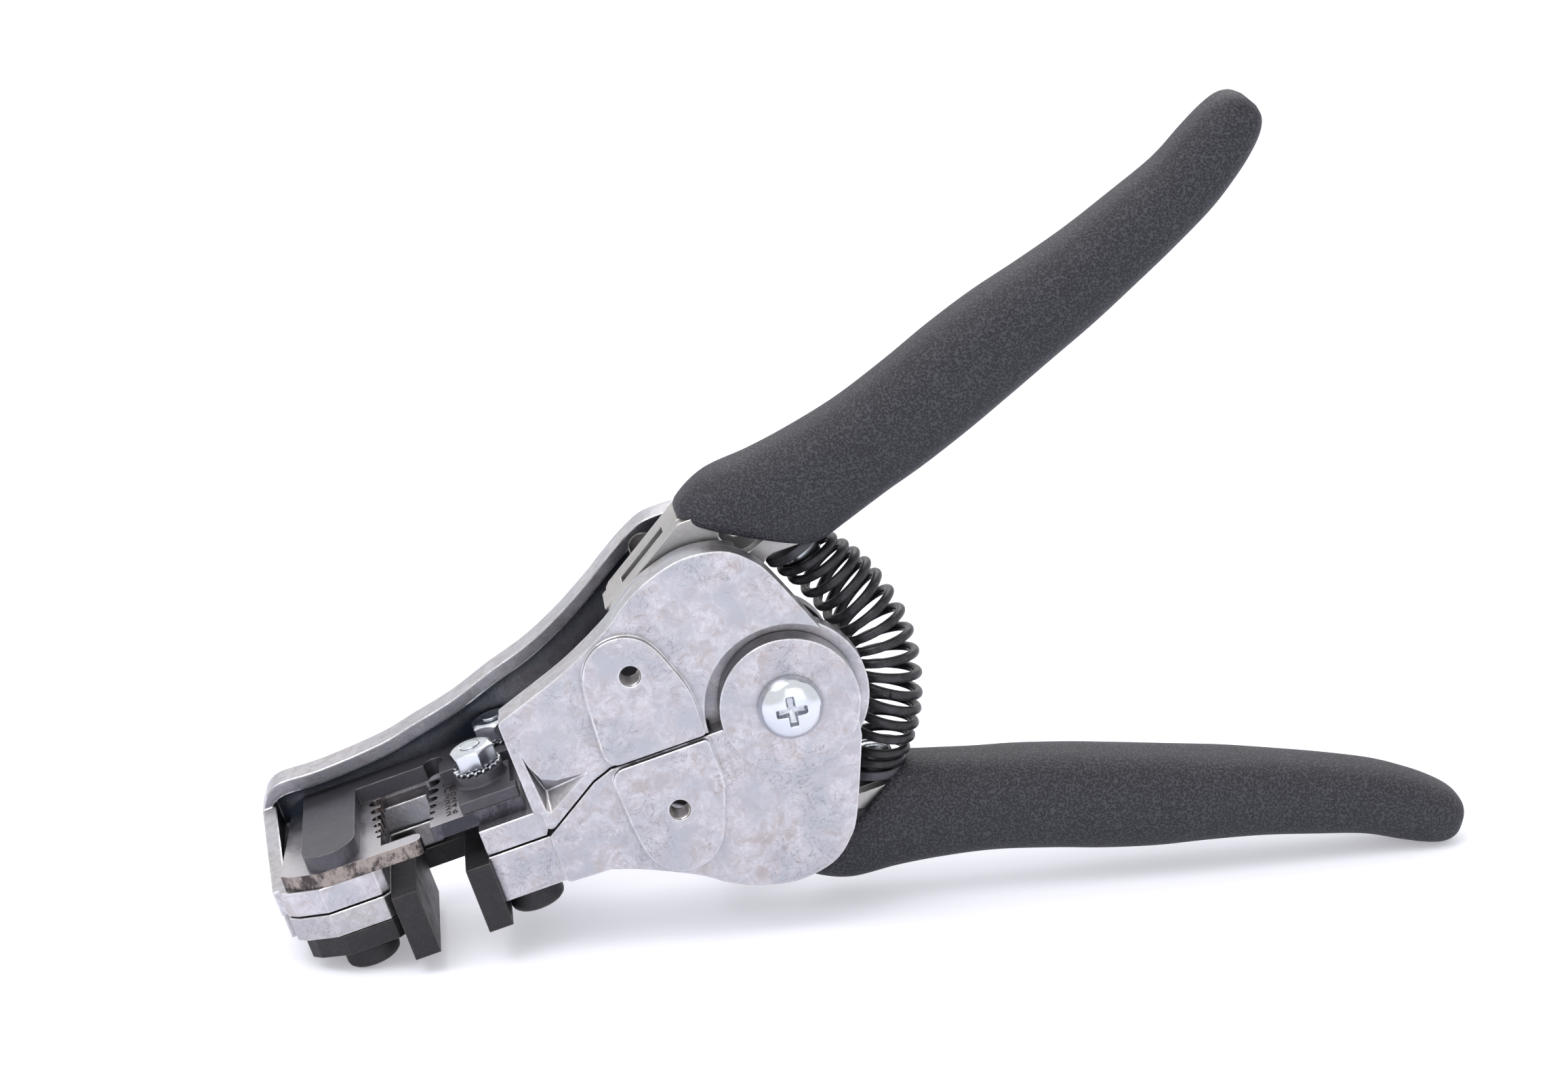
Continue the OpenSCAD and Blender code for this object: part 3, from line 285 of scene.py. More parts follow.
def group_cast():
    """Noise of four sizes as masks from 0 to 1. A vein is where a warped noise crosses one half."""
    tree, gi, go = new_group("cast_surface", [("Scale", "NodeSocketFloat", 1.0)],
                             [(label, "NodeSocketFloat") for label in (*CAST_MARKS, "Vein")])
    scaled = node(tree, "ShaderNodeVectorMath", operation="SCALE")
    tree.links.new(node(tree, "ShaderNodeTexCoord").outputs["Object"], scaled.inputs[0])
    tree.links.new(gi.outputs["Scale"], scaled.inputs["Scale"])
    vec = scaled.outputs[0]
    masks = {label: remap(tree, noise(tree, vec, *sizes), *levels)
             for label, (sizes, levels) in (*CAST_MARKS.items(), ("where", VEIN_PLACES))}
    off_half = calc(tree, "ABSOLUTE", calc(tree, "SUBTRACT", noise(tree, vec, *VEIN_NOISE), 0.5))
    line = remap(tree, off_half, 0.0, VEIN_HALF_WIDTH, 1.0, 0.0)
    masks["Vein"] = calc(tree, "MULTIPLY", line, masks.pop("where"), True)
    for label, mask in masks.items():
        tree.links.new(mask, go.inputs[label])
    return tree


# %% Edges and corners
EDGE_TURN = (0.006, 0.12)  # how far the bevel turns the normal, where wear starts and is full
EDGE_BREAKS = ((420, 4, 0.6), (0.3, 0.6, 0.2, 1.0))
CLOSED_IN = (0.25, 0.8)  # the share of open sky in a full corner and in a free place


def group_edges_and_painted_shade():
    """Edge = 1 - bevelled normal . true normal, broken up by noise. The corner mask = how closed in a place
    is, for a painted shade in corners.
    """
    tree, gi, go = new_group("worn_edges_and_painted_shade",
                             [("Radius", "NodeSocketFloat", 0.0004), ("Reach", "NodeSocketFloat", 0.0025)],
                             [("Edge", "NodeSocketFloat"), ("Painted_Shade", "NodeSocketFloat"),
                              ("Normal", "NodeSocketVector")])
    bevel = node(tree, "ShaderNodeBevel", samples=6)
    tree.links.new(gi.outputs["Radius"], bevel.inputs["Radius"])
    dot = node(tree, "ShaderNodeVectorMath", operation="DOT_PRODUCT")
    tree.links.new(bevel.outputs["Normal"], dot.inputs[0])
    tree.links.new(node(tree, "ShaderNodeNewGeometry").outputs["Normal"], dot.inputs[1])
    turn = calc(tree, "SUBTRACT", 1.0, dot.outputs["Value"])
    coord = node(tree, "ShaderNodeTexCoord").outputs["Object"]
    broken = remap(tree, noise(tree, coord, *EDGE_BREAKS[0]), *EDGE_BREAKS[1])
    closed_in = node(tree, "ShaderNodeAmbientOcclusion", samples=4)
    tree.links.new(gi.outputs["Reach"], closed_in.inputs["Distance"])
    tree.links.new(calc(tree, "MULTIPLY", remap(tree, turn, *EDGE_TURN), broken, True), go.inputs["Edge"])
    # The corner mask: 1 where a place is closed in, used to paint shade into corners.
    tree.links.new(remap(tree, closed_in.outputs["AO"], *CLOSED_IN, 1.0, 0.0), go.inputs["Painted_Shade"])
    tree.links.new(bevel.outputs["Normal"], go.inputs["Normal"])
    return tree


CAST, EDGES_AND_SHADE = group_cast(), group_edges_and_painted_shade()
print("groups:", [g.name for g in bpy.data.node_groups])


# %% Material helpers
def start_material(name):
    mat = bpy.data.materials.new(name)
    mat.use_nodes = True
    print("material:", name)
    return mat, mat.node_tree, mat.node_tree.nodes["Principled BSDF"]


def use_group(tree, group, **inputs):
    made = node(tree, "ShaderNodeGroup")
    made.node_tree = group
    for label, value in inputs.items():
        made.inputs[label].default_value = value
    return made.outputs


# %% [markdown]
# ## Metals
# Die-cast zinc is a dull silver, clouded with warm and bluish patches and crossed by fine
# dark veins, with brighter worn edges. The clamp plates are blackened steel, the pads are
# browned, and the small fasteners have a bright bluish plating. One builder makes them
# all, because they differ in tone, gloss and how much of each mark they carry. Painted
# images would need every casting unwrapped, so each mark is a noise on Object coordinates.

# %% Metal builder
# The corner tone is a painted shade: the base colour darkened in closed-in corners.
SPECKLE_TONE, VEIN_TONE, CORNER_SHADE_TONE = 0.72, 0.3, 0.25  # shares of the base colour
DULL_SPREAD = (-0.05, 0.07)
GRAIN_STRENGTH = 0.5


def along_wire(tree, vector):
    """The dot product of a vector with the wire's direction."""
    made = node(tree, "ShaderNodeVectorMath", operation="DOT_PRODUCT")
    tree.links.new(vector, made.inputs[0])
    made.inputs[1].default_value = tuple(TURN[:, 2])
    return made.outputs["Value"]


def metal(name, base, warm, cool, edge, rough, rough_edge, metallic=1.0, patch=0.5, radius=0.0005,
          grain=0.00002, speckle=0.35, vein=0.0, corner_shade=0.5, reach=0.0025, deep=None, scale=1.0, above=None):
    """Four tones, two gloss levels, and the share of each mark.

    Radius is the worn edge's width and reach the depth of the corners, in metres. Corners are darkened as a
    painted shade, and where above is given, only above that millimetre of the wire's axis.
    """
    mat, tree, bsdf = start_material(name)
    cast, rim = use_group(tree, CAST, Scale=scale), use_group(tree, EDGES_AND_SHADE, Radius=radius, Reach=reach)
    colour = blend_colour(tree, calc(tree, "MULTIPLY", cast["Patch"], patch), base, warm)
    colour = blend_colour(tree, calc(tree, "MULTIPLY", cast["Cloud"], patch), colour, cool)
    for mark, share, dark in (("Speckle", speckle, SPECKLE_TONE), ("Vein", vein, VEIN_TONE)):
        marks = calc(tree, "MULTIPLY", cast[mark], share)
        colour = blend_colour(tree, marks, colour, tuple(dark * v for v in base))
    # Painted shade: corners that the ambient occlusion mask finds closed in are darkened towards a dark tone.
    corners = calc(tree, "MULTIPLY", rim["Painted_Shade"], corner_shade)
    if above is not None:
        height = along_wire(tree, node(tree, "ShaderNodeTexCoord").outputs["Object"])
        start = float(ORIGIN @ TURN[:, 2]) + above * MM
        corners = calc(tree, "MULTIPLY", corners, remap(tree, height, start - 0.5 * MM, start))
    colour = blend_colour(tree, corners, colour, deep or tuple(CORNER_SHADE_TONE * v for v in base))
    tree.links.new(blend_colour(tree, rim["Edge"], colour, edge), bsdf.inputs["Base Color"])
    bsdf.inputs["Metallic"].default_value = metallic
    dull = remap(tree, cast["Cloud"], 0, 1, *(rough + off for off in DULL_SPREAD))
    gloss = node(tree, "ShaderNodeMix", data_type="FLOAT")
    for k, value in ((0, rim["Edge"]), (2, dull), (3, rough_edge)):
        plug(tree, gloss.inputs[k], value)
    tree.links.new(gloss.outputs[0], bsdf.inputs["Roughness"])
    bump(tree, bsdf, calc(tree, "ADD", cast["Speckle"], cast["Patch"]), grain, GRAIN_STRENGTH, rim["Normal"])
    return mat


# %% [markdown]
# The upper hook's inside, above the blades, gets a painted shade: its corner mask reaches far and paints those
# corners almost black. The lower hook is ground bright where the cable passes.

# %% Zinc and plating
ZINC = ((0.585, 0.575, 0.61), (0.40, 0.35, 0.345), (0.43, 0.445, 0.50), (0.88, 0.88, 0.9), 0.42, 0.18)
zinc = metal("die_cast_zinc", *ZINC, patch=0.9, vein=0.8, corner_shade=0.8, speckle=0.5, scale=1.4)
# Painted shade: the upper hook's corners above the blades are darkened almost to black.
hook_zinc_painted_shade = metal("die_cast_zinc_hook_painted_shade", *ZINC, patch=0.75, vein=0.55, corner_shade=2.4, reach=0.022,
                  deep=(0.03, 0.036, 0.05), scale=1.4, above=-0.7)
jaw_zinc = metal("ground_jaw_zinc", (0.54, 0.53, 0.55), (0.33, 0.29, 0.26), (0.39, 0.39, 0.43),
                 (0.84, 0.84, 0.85), 0.38, 0.18, patch=0.8, vein=0.7, corner_shade=0.7, reach=0.003,
                 speckle=0.7, scale=2.2)
plated = metal("zinc_plating", (0.68, 0.71, 0.76), (0.62, 0.62, 0.62), (0.56, 0.62, 0.73), (0.86, 0.88, 0.9),
               0.2, 0.13, patch=0.4, grain=0.000006, speckle=0.12, radius=0.0003)
thread_zinc = metal("tapped_zinc", (0.62, 0.60, 0.60), (0.50, 0.46, 0.44), (0.54, 0.55, 0.58), (0.9, 0.9, 0.9),
                    0.22, 0.15, corner_shade=0.0, radius=0.0001, grain=0.000003)

# %% Steels
lever_metal = metal("lever_steel", (0.48, 0.47, 0.46), (0.36, 0.32, 0.29), (0.40, 0.41, 0.43),
                    (0.72, 0.71, 0.69), 0.42, 0.2, grain=0.00001, radius=0.0003, vein=0.2)
black_steel = metal("blackened_steel", (0.085, 0.083, 0.098), (0.060, 0.054, 0.054), (0.095, 0.096, 0.118),
                    (0.24, 0.22, 0.21), 0.42, 0.3, metallic=0.6, grain=0.00001, radius=0.00025, speckle=0.5)
brown_steel = metal("browned_steel", (0.024, 0.0235, 0.028), (0.055, 0.046, 0.042), (0.029, 0.030, 0.036),
                    (0.17, 0.14, 0.12), 0.52, 0.36, metallic=0.4, grain=0.00004, radius=0.0002, speckle=0.7,
                    scale=2.6)

# %% [markdown]
# A blade is ground bright on its flat faces, which look along the wire. Its sides keep the
# brown scale of hardening, worn through in specks that gather in patches. Two materials on
# two sets of faces would do it too, but the CAD mesh stays as it is, so the normal chooses.

# %% Ground blades
FLAT_FACES = (0.5, 0.9)  # the normal's share along the wire, from side to flat face
SPECK_SCALES, SPECK_NOISE = (1100, 1100, 700), (1.0, 6, 0.7)
PATCH_NOISE, SCALE_WORN = (160, 3, 0.6), (0.46, 0.56)


def ground_blade(name, scale_dark, scale_worn):
    """Bright where the object's own normal looks along the wire, and hardening scale on every side."""
    mat = metal(name, (0.60, 0.58, 0.62), (0.50, 0.44, 0.42), (0.55, 0.56, 0.61), (0.44, 0.39, 0.36), 0.3, 0.3,
                patch=0.4, grain=0.000004, radius=0.00015, speckle=0.15, corner_shade=0.25)
    tree, bsdf = mat.node_tree, mat.node_tree.nodes["Principled BSDF"]
    ground = bsdf.inputs["Base Color"].links[0].from_socket
    coord = node(tree, "ShaderNodeTexCoord")
    stretched = node(tree, "ShaderNodeVectorMath", operation="MULTIPLY")
    tree.links.new(coord.outputs["Object"], stretched.inputs[0])
    stretched.inputs[1].default_value = SPECK_SCALES
    specks = noise(tree, stretched.outputs[0], *SPECK_NOISE)
    patches = noise(tree, coord.outputs["Object"], *PATCH_NOISE)
    mean = calc(tree, "MULTIPLY", calc(tree, "ADD", specks, patches), 0.5)
    side = blend_colour(tree, remap(tree, mean, *SCALE_WORN), scale_dark, scale_worn)
    facing = remap(tree, along_wire(tree, coord.outputs["Normal"]), *FLAT_FACES)
    tree.links.new(blend_colour(tree, facing, side, ground), bsdf.inputs["Base Color"])
    return mat


left_steel = ground_blade("left_blade_steel", (0.065, 0.056, 0.056), (0.30, 0.26, 0.24))
right_steel = ground_blade("right_blade_steel", (0.05, 0.05, 0.06), (0.10, 0.095, 0.11))
print("metals:", len(bpy.data.materials))

# %% [markdown]
# The spring wire is hardened and oiled black: nearly black, with a soft shine along each
# turn and a few places rubbed paler. It needs no edge mask, because a wire has no edges.

# %% Spring wire
WIRE_DARK, WIRE_RUBBED, WIRE_DULL = (0.016, 0.016, 0.019), (0.042, 0.042, 0.048), (0.3, 0.46)
wire_black, wt, wb = start_material("black_wire")
wire_cast = use_group(wt, CAST, Scale=1.6)
wt.links.new(blend_colour(wt, wire_cast["Patch"], WIRE_DARK, WIRE_RUBBED), wb.inputs["Base Color"])
wt.links.new(remap(wt, wire_cast["Speckle"], 0, 1, *WIRE_DULL), wb.inputs["Roughness"])
wb.inputs["Metallic"].default_value = 0.4
bump(wt, wb, wire_cast["Speckle"], 0.00001, 0.5)

# %% [markdown]
# ## Grip coating
# The dipped foam skin is a dark bluish grey with a fine open grain. Round cells from a Voronoi texture give
# the pits, a finer noise breaks them up, and a slow one keeps the tone from being even. The pits are painted
# darker, as a painted shade, and the rims paler, as a painted sheen. Modelled pits would take millions of
# faces, so they are a bump.

# %% Grip material
CELLS_PER_METRE, GRAIN_NOISE, TONE_NOISE = 3000, (2600, 3, 0.7), (160, 3, 0.5)
PIT_TO_RIM, GRIP_DULL = (0.85, 1.3), (0.48, 0.72)
# The pits' two tones vary at random and are darker than the rims as a painted shade; the rim tone is a painted
# sheen.
PIT_DARK, PIT_PALE, RIM_SHEEN_TONE = (0.013, 0.013, 0.018), (0.020, 0.020, 0.027), (0.062, 0.062, 0.074)
PIT_DEPTH, TONE_SWELL = 0.0001, 0.8
grip_skin, gt, gb = start_material("foam_grip")
g_coord = node(gt, "ShaderNodeTexCoord").outputs["Object"]
cells = node(gt, "ShaderNodeTexVoronoi", feature="F1")
cells.inputs["Scale"].default_value = CELLS_PER_METRE
gt.links.new(g_coord, cells.inputs["Vector"])
fine, slow = noise(gt, g_coord, *GRAIN_NOISE), noise(gt, g_coord, *TONE_NOISE)
rims = remap(gt, calc(gt, "ADD", cells.outputs["Distance"], fine), *PIT_TO_RIM)
pit_tone = blend_colour(gt, slow, PIT_DARK, PIT_PALE)
# Painted shade in the pits and a painted sheen on the rims of the cells.
gt.links.new(blend_colour(gt, rims, pit_tone, RIM_SHEEN_TONE), gb.inputs["Base Color"])
gt.links.new(remap(gt, fine, 0.3, 0.7, *GRIP_DULL), gb.inputs["Roughness"])
gb.inputs["Specular IOR Level"].default_value = 0.32
swell = calc(gt, "MULTIPLY", slow, TONE_SWELL)
bump(gt, gb, calc(gt, "ADD", cells.outputs["Distance"], swell), PIT_DEPTH, 0.7)

# %% [markdown]
# ## What the CAD nodes wear
# A carried-over node keeps its mesh and only gets a finish. Those that fuller pieces
# replace get one too, so that nothing is left plain.

# %% Finishes of the CAD nodes
WEARS = {
    zinc: "near_lower_casting near_upper_casting",
    hook_zinc_painted_shade: "upper_hook_casting",
    jaw_zinc: "lower_hook_casting",
    plated: "pivot_screw pivot_nut lower_guide_screws upper_guide_screws near_clamp_stud near_lock_washer "
            "near_clamp_nut far_clamp_stud far_lock_washer far_clamp_nut",
    lever_metal: "pivot_bush pivot_spacers upper_lever lower_lever upper_link_pin lower_link_pin",
    black_steel: "lower_side_plate upper_side_plate blade_finger_plate blade_clamp_block "
                 "upper_spring_seat lower_spring_seat",
    left_steel: "left_blade",
    right_steel: "right_blade",
    brown_steel: "left_gripper_pad right_gripper_pad gripper_plate left_jaw_screw right_jaw_screw",
    wire_black: "return_spring",
    grip_skin: "upper_grip lower_grip",
}
for mat, names in WEARS.items():
    for name in names.split():
        slots = frame["nodes"][name].data.materials
        slots.clear()
        slots.append(mat)
print("nodes dressed:", sum(len(names.split()) for names in WEARS.values()), "of", len(frame["nodes"]))

# %% [markdown]
# ## The return spring
# The spring bows between two seats on the levers. Its turns lie tight at the seats and fan
# out towards the middle, where they are level. A plain screw modifier can't do that, so the
# wire's centreline is a formula: a centre that runs along an arc, and a circle round it
# whose plane tilts from turn to turn. The tilts were measured on the photograph.

# %% Spring sizes
SEAT_U, REACH_U, HALF, SPRING_V = 8.6, 15.5, 18.6, -1.3
WIRE_R, TURNS, POINTS_PER_TURN, WIRE_SIDES = 0.74, 16, 48, 14
BOW = REACH_U - SEAT_U
BOW_R = (HALF**2 + BOW**2) / (2 * BOW)
BOW_HALF = math.asin(HALF / BOW_R)
RUN = 2 * BOW_R * BOW_HALF
SEAT_TILT, TIGHT_TURNS, TIGHT_PITCH, SEAT_RUN = math.radians(18), 1.25, 1.74, 0.86
TILT_TURNS = np.array([0, 1.25, 3.4, 5.2, 8, 10.8, 12.6, 14.75, 16])
TILTS = np.radians([18, 18, 30, 30, 0, -30, -30, -18, -18])
COIL_TURNS, COIL_R = [0, 1.25, 5, 8, 11, 14.75, 16], [4.3, 4.4, 5.15, 5.3, 5.15, 4.4, 4.3]
RUN_TURNS = [0, TIGHT_TURNS, TURNS - TIGHT_TURNS, TURNS]
TIGHT_RUN = SEAT_RUN + TIGHT_TURNS * TIGHT_PITCH
RUNS = [SEAT_RUN, TIGHT_RUN, RUN - TIGHT_RUN, RUN - SEAT_RUN]
print("arc radius, mm:", round(BOW_R, 2), "arc length, mm:", round(RUN, 2))


# %% Spring line and wire
def spring_line(turn):
    """c(b) + r(t) (cos 2 pi t (cos f, 0, sin f) + sin 2 pi t v), and c: on the arc at bend b, tilt f(t)."""
    turn = np.asarray(turn, float)
    bend = BOW_HALF * (1 - 2 * np.interp(turn, RUN_TURNS, RUNS) / RUN)
    tilt, a, r = np.interp(turn, TILT_TURNS, TILTS), 2 * math.pi * turn, np.interp(turn, COIL_TURNS, COIL_R)
    centre = np.stack([REACH_U - BOW_R + BOW_R * np.cos(bend), SPRING_V + 0 * bend, BOW_R * np.sin(bend)], -1)
    round_it = np.stack([np.cos(a) * np.cos(tilt), np.sin(a), np.cos(a) * np.sin(tilt)], -1)
    return centre + r[..., None] * round_it, centre


def tube(line, centre, radius, sides):
    """Rings p + r(a cos k + b sin k): a points from the coil's centre, less its share along the line."""
    tangent = np.gradient(line, axis=0)
    tangent /= np.linalg.norm(tangent, axis=1, keepdims=True)
    out = line - centre
    out -= np.einsum("ij,ij->i", out, tangent)[:, None] * tangent
    out /= np.linalg.norm(out, axis=1, keepdims=True)
    beside = np.cross(tangent, out)
    k = np.linspace(0, 2 * math.pi, sides, endpoint=False)[None, :, None]
    return line[:, None] + radius * (out[:, None] * np.cos(k) + beside[:, None] * np.sin(k))


line = spring_line(np.linspace(0, TURNS, TURNS * POINTS_PER_TURN + 1))[0]
apart = np.linalg.norm(line[:, None] - line[None], axis=-1)
steps_off = np.abs(np.arange(len(line))[:, None] - np.arange(len(line))[None])
print("least gap between turns, mm:", round(apart[steps_off > POINTS_PER_TURN // 2].min() - 2 * WIRE_R, 3))

# %% [markdown]
# Both ends of the spring ride on handles that swing, and its middle rests on the frames.
# A piece can bend between two bodies only where one joint ties them, so the spring is cut in three, one third
# for each joint of the chain. Here the thirds are only built in place and not tied to any body.

# %% Spring in three thirds
CUTS = (0, 5.25, 10.75, TURNS)
LINKS = (("spring_upper", "upper_handle", "upper_frame"), ("spring_middle", "upper_frame", "lower_frame"),
         ("spring_lower", "lower_frame", "lower_handle"))
for (name, body_a, body_b), t0, t1 in zip(LINKS, CUTS, CUTS[1:]):
    part_line, centre = spring_line(np.linspace(t0, t1, int((t1 - t0) * POINTS_PER_TURN) + 1))
    third = make_piece(name, *closed_mesh(tube(part_line, centre, WIRE_R, WIRE_SIDES)), wire_black)
    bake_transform(third)
    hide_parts("return_spring")

# %% [markdown]
# Each seat is a dark flange under the last turn, with a bright domed boss inside the coil.
# Both are turned shapes: a profile carried round an axis that leans as the last turn does.
# The Spin tool does the same by hand, but it can leave a shape inside out.


# %% Turned shapes
def lathe(profile, sides, at, across, axis):
    """Rings at + r (a cos k + b sin k) + h n for a profile of (r, h), with n the axis and a, b across it."""
    profile, axis, across = (np.asarray(x, float) for x in (profile, axis, across))
    k = np.linspace(0, 2 * math.pi, sides, endpoint=False)[None, :, None]
    ring = across * np.cos(k) + np.cross(axis, across) * np.sin(k)
    return np.asarray(at, float) + profile[:, 0, None, None] * ring + profile[:, 1, None, None] * axis


# %% Spring seats: profiles of (radius, height) above the seat
FLANGE = [(0.3, -1.5), (4.5, -1.5), (4.8, -1.3), (4.9, -0.9), (4.9, -0.2), (4.75, 0), (0.3, 0)]
BOSS = [(0.3, -0.4), (3.3, -0.4), (3.3, 1.2), (3.2, 1.9), (2.9, 2.5), (2.3, 2.95), (1.2, 3.2), (0.3, 3.25)]
SEAT_SIDES, SEAT_SHARP = 64, 40
for side, word in ((1, "upper"), (-1, "lower")):
    axis = (math.sin(SEAT_TILT), 0, -side * math.cos(SEAT_TILT))
    across = (math.cos(SEAT_TILT), 0, side * math.sin(SEAT_TILT))
    for kind, profile, mat, slot in (("flange", FLANGE, black_steel, "blackened_steel"),
                                     ("boss", BOSS, plated, "zinc_plated_steel")):
        rings = lathe(profile, SEAT_SIDES, (SEAT_U, SPRING_V, side * HALF), across, axis)
        piece = make_piece(f"{word}_spring_{kind}", *closed_mesh(rings), mat)
        sharpen(piece, SEAT_SHARP)
        fit(piece, f"{word}_handle", slot, f"{word}_spring_seat")

# %% [markdown]
# ## The grips
# A grip is a soft sleeve whose section is a rounded rectangle that changes all along the
# handle. A table gives the inner edge, the outer edge and the half width at nineteen
# stations, as shares of the handle's sizes. A smooth curve through the table and a
# superellipse at each step give the skin, and a small dome closes the front end. It could
# be sculpted, but a table stays readable, and the mirrored grip comes from the same rows.

# %% Grip table: inner u and rise, outer u and rise, half width
REACH, RISE, GRIP_HALF, SECTION_POWER = 111.6, 30.9, 8.2, 2.7
GRIP_TABLE = np.array([
    [0.183, 0.38, 0.106, 0.88, 0.76], [0.187, 0.32, 0.1, 0.945, 0.87], [0.203, 0.291, 0.113, 0.985, 0.94],
    [0.233, 0.262, 0.163, 0.965, 0.95], [0.269, 0.23, 0.221, 0.855, 0.96], [0.305, 0.197, 0.278, 0.762, 0.97],
    [0.358, 0.142, 0.349, 0.667, 0.98], [0.43, 0.081, 0.43, 0.592, 1], [0.502, 0.029, 0.502, 0.537, 1],
    [0.573, -0.019, 0.573, 0.469, 1], [0.645, -0.068, 0.645, 0.382, 0.98], [0.717, -0.107, 0.717, 0.304, 0.93],
    [0.789, -0.142, 0.789, 0.243, 0.88], [0.86, -0.165, 0.86, 0.188, 0.84], [0.914, -0.159, 0.914, 0.178, 0.8],
    [0.95, -0.142, 0.95, 0.168, 0.76], [0.977, -0.116, 0.977, 0.149, 0.66], [0.993, -0.078, 0.993, 0.11, 0.51],
    [1, -0.026, 1, 0.052, 0.27]])
STEPS, GRIP_SIDES = 8, 96
DOME_ANGLES, DOME_OUT = np.radians([82, 66, 50, 34, 18]), 0.9
MIDDLE_V = {"upper": -2.6, "lower": 0.0}
print("grip stations:", len(GRIP_TABLE), "rings:", (len(GRIP_TABLE) - 1) * STEPS + 1 + len(DOME_ANGLES))


# %% Grip skin
def through(table, steps):
    """Catmull-Rom: (2b + (c-a)t + (2a-5b+4c-d)t^2 + (3b-a-3c+d)t^3) / 2 between rows b and c."""
    k, last = np.arange(len(table) - 1), len(table) - 1
    a, b, c, d = (table[np.clip(k + n, 0, last)][:, None] for n in (-1, 0, 1, 2))
    t = np.linspace(0, 1, steps, endpoint=False)[None, :, None]
    curve = (2 * b + (c - a) * t + (2 * a - 5 * b + 4 * c - d) * t**2 + (3 * b - a - 3 * c + d) * t**3) / 2
    return np.concatenate([curve.reshape(-1, table.shape[1]), table[-1:]])


def grip_rings(middle_v):
    """Superellipse sections m + r |cos|^(2/p) across and h |sin|^(2/p) wide, with a dome at the front."""
    s = through(GRIP_TABLE, STEPS)
    inner = np.stack([s[:, 0] * REACH, s[:, 1] * RISE], -1)
    outer = np.stack([s[:, 2] * REACH, s[:, 3] * RISE], -1)
    middle, reach, half = (inner + outer) / 2, (outer - inner) / 2, s[:, 4] * GRIP_HALF
    shrink, out = np.cos(DOME_ANGLES), np.sin(DOME_ANGLES)[:, None] * DOME_OUT
    front = reach[0] / np.linalg.norm(reach[0]) @ np.array([[0, -1], [1, 0]])
    middle = np.concatenate([middle[0] + out * front, middle])
    reach = np.concatenate([shrink[:, None] * reach[0], reach])
    half = np.concatenate([shrink * half[0], half])
    a = np.linspace(0, 2 * math.pi, GRIP_SIDES, endpoint=False)
    wide, across = (np.sign(f) * np.abs(f) ** (2 / SECTION_POWER) for f in (np.sin(a), np.cos(a)))
    u = middle[:, :1] + reach[:, :1] * across
    w = middle[:, 1:] + reach[:, 1:] * across
    return np.stack([u, middle_v + half[:, None] * wide, w], -1)


# %% Grips
for side, word in ((1, "upper"), (-1, "lower")):
    rings = handle_to_tool(grip_rings(MIDDLE_V[word]), side)
    piece = make_piece(f"{word}_foam_grip", *closed_mesh(rings), grip_skin)
    fit(piece, f"{word}_handle", "vinyl_grip", f"{word}_grip")

# %% [markdown]
# ## The pivot screw
# A pan head with a cross recess. The head is a turned dome, and the recess is a depth that
# is taken off it: full where the point lies in either arm of the cross, with steep walls,
# and deepest in the middle. A fine polar grid carries both, and the shank closes it behind.
# A Boolean could cut the cross, but it leaves long thin faces that shade badly on a dome.

# %% Pan head with a cross recess
HEAD_R, HEAD_H, HEAD_SEAT, HEAD_POWER = 4.95, 3.0, -15.4, 2.5
SHANK_R, SHANK_END = 2.5, 15.2
ARM_HALF, ARM_REACH, CROSS_TURN = 0.62, 2.4, math.radians(-8)
CROSS_DEPTH, CROSS_SLOPE, ARM_WALL, ARM_END = 1.75, 0.3, (-0.06, 0.14), (-0.1, 0.5)
HEAD_SIDES, HEAD_RINGS, POLE, HEAD_SHARP = 192, 78, 0.004, 50


def step(value, low, high):
    """Smooth step from 0 at low to 1 at high: 3t^2 - 2t^3."""
    t = np.clip((value - low) / (high - low), 0, 1)
    return t * t * (3 - 2 * t)


def recess(x, z):
    """Depth of the cross: arms |z| < half and |x| < reach, sloping up along the arm."""
    arms = [step(ARM_HALF - np.abs(q), *ARM_WALL) * step(ARM_REACH - np.abs(p), *ARM_END)
            for p, q in ((x, z), (z, x))]
    return np.maximum(*arms) * (CROSS_DEPTH - CROSS_SLOPE * np.hypot(x, z))


def pan_head(radii, angles):
    """y = seat - h (1 - (r/R)^p)^(1/p) + recess, over a polar grid."""
    r, a = radii[:, None], angles[None]
    x, z = r * np.cos(a), r * np.sin(a)
    dome = HEAD_H * np.clip(1 - (r / HEAD_R) ** HEAD_POWER, 0, 1) ** (1 / HEAD_POWER)
    return np.stack([x, HEAD_SEAT - dome + recess(x, z), z], -1)


# %% [markdown]
# The shank is turned round the other way than the head's grid runs. Its columns are put in
# the head's order, so the two join ring to ring.

# %% The screw in one piece
angles = np.linspace(0, 2 * math.pi, HEAD_SIDES, endpoint=False)
head = pan_head(HEAD_R * np.sin(np.linspace(POLE, math.pi / 2, HEAD_RINGS)), angles)
c, s = math.cos(CROSS_TURN), math.sin(CROSS_TURN)
head = head @ np.array([[c, 0, s], [0, 1, 0], [-s, 0, c]])
SHANK = [(SHANK_R + 0.05, HEAD_SEAT), (SHANK_R, HEAD_SEAT + 0.1), (SHANK_R, SHANK_END - 0.4),
         (SHANK_R - 0.4, SHANK_END), (0.2, SHANK_END)]
shank = lathe(SHANK, HEAD_SIDES, (0, 0, 0), (c, 0, s), (0, 1, 0))
shank = np.roll(shank[:, ::-1], 1, axis=1)
screw = make_piece("pan_head_pivot_screw", *closed_mesh(np.concatenate([head, shank])), plated)
sharpen(screw, HEAD_SHARP)
fit(screw, "lower_frame", "zinc_plated_steel", "pivot_screw")

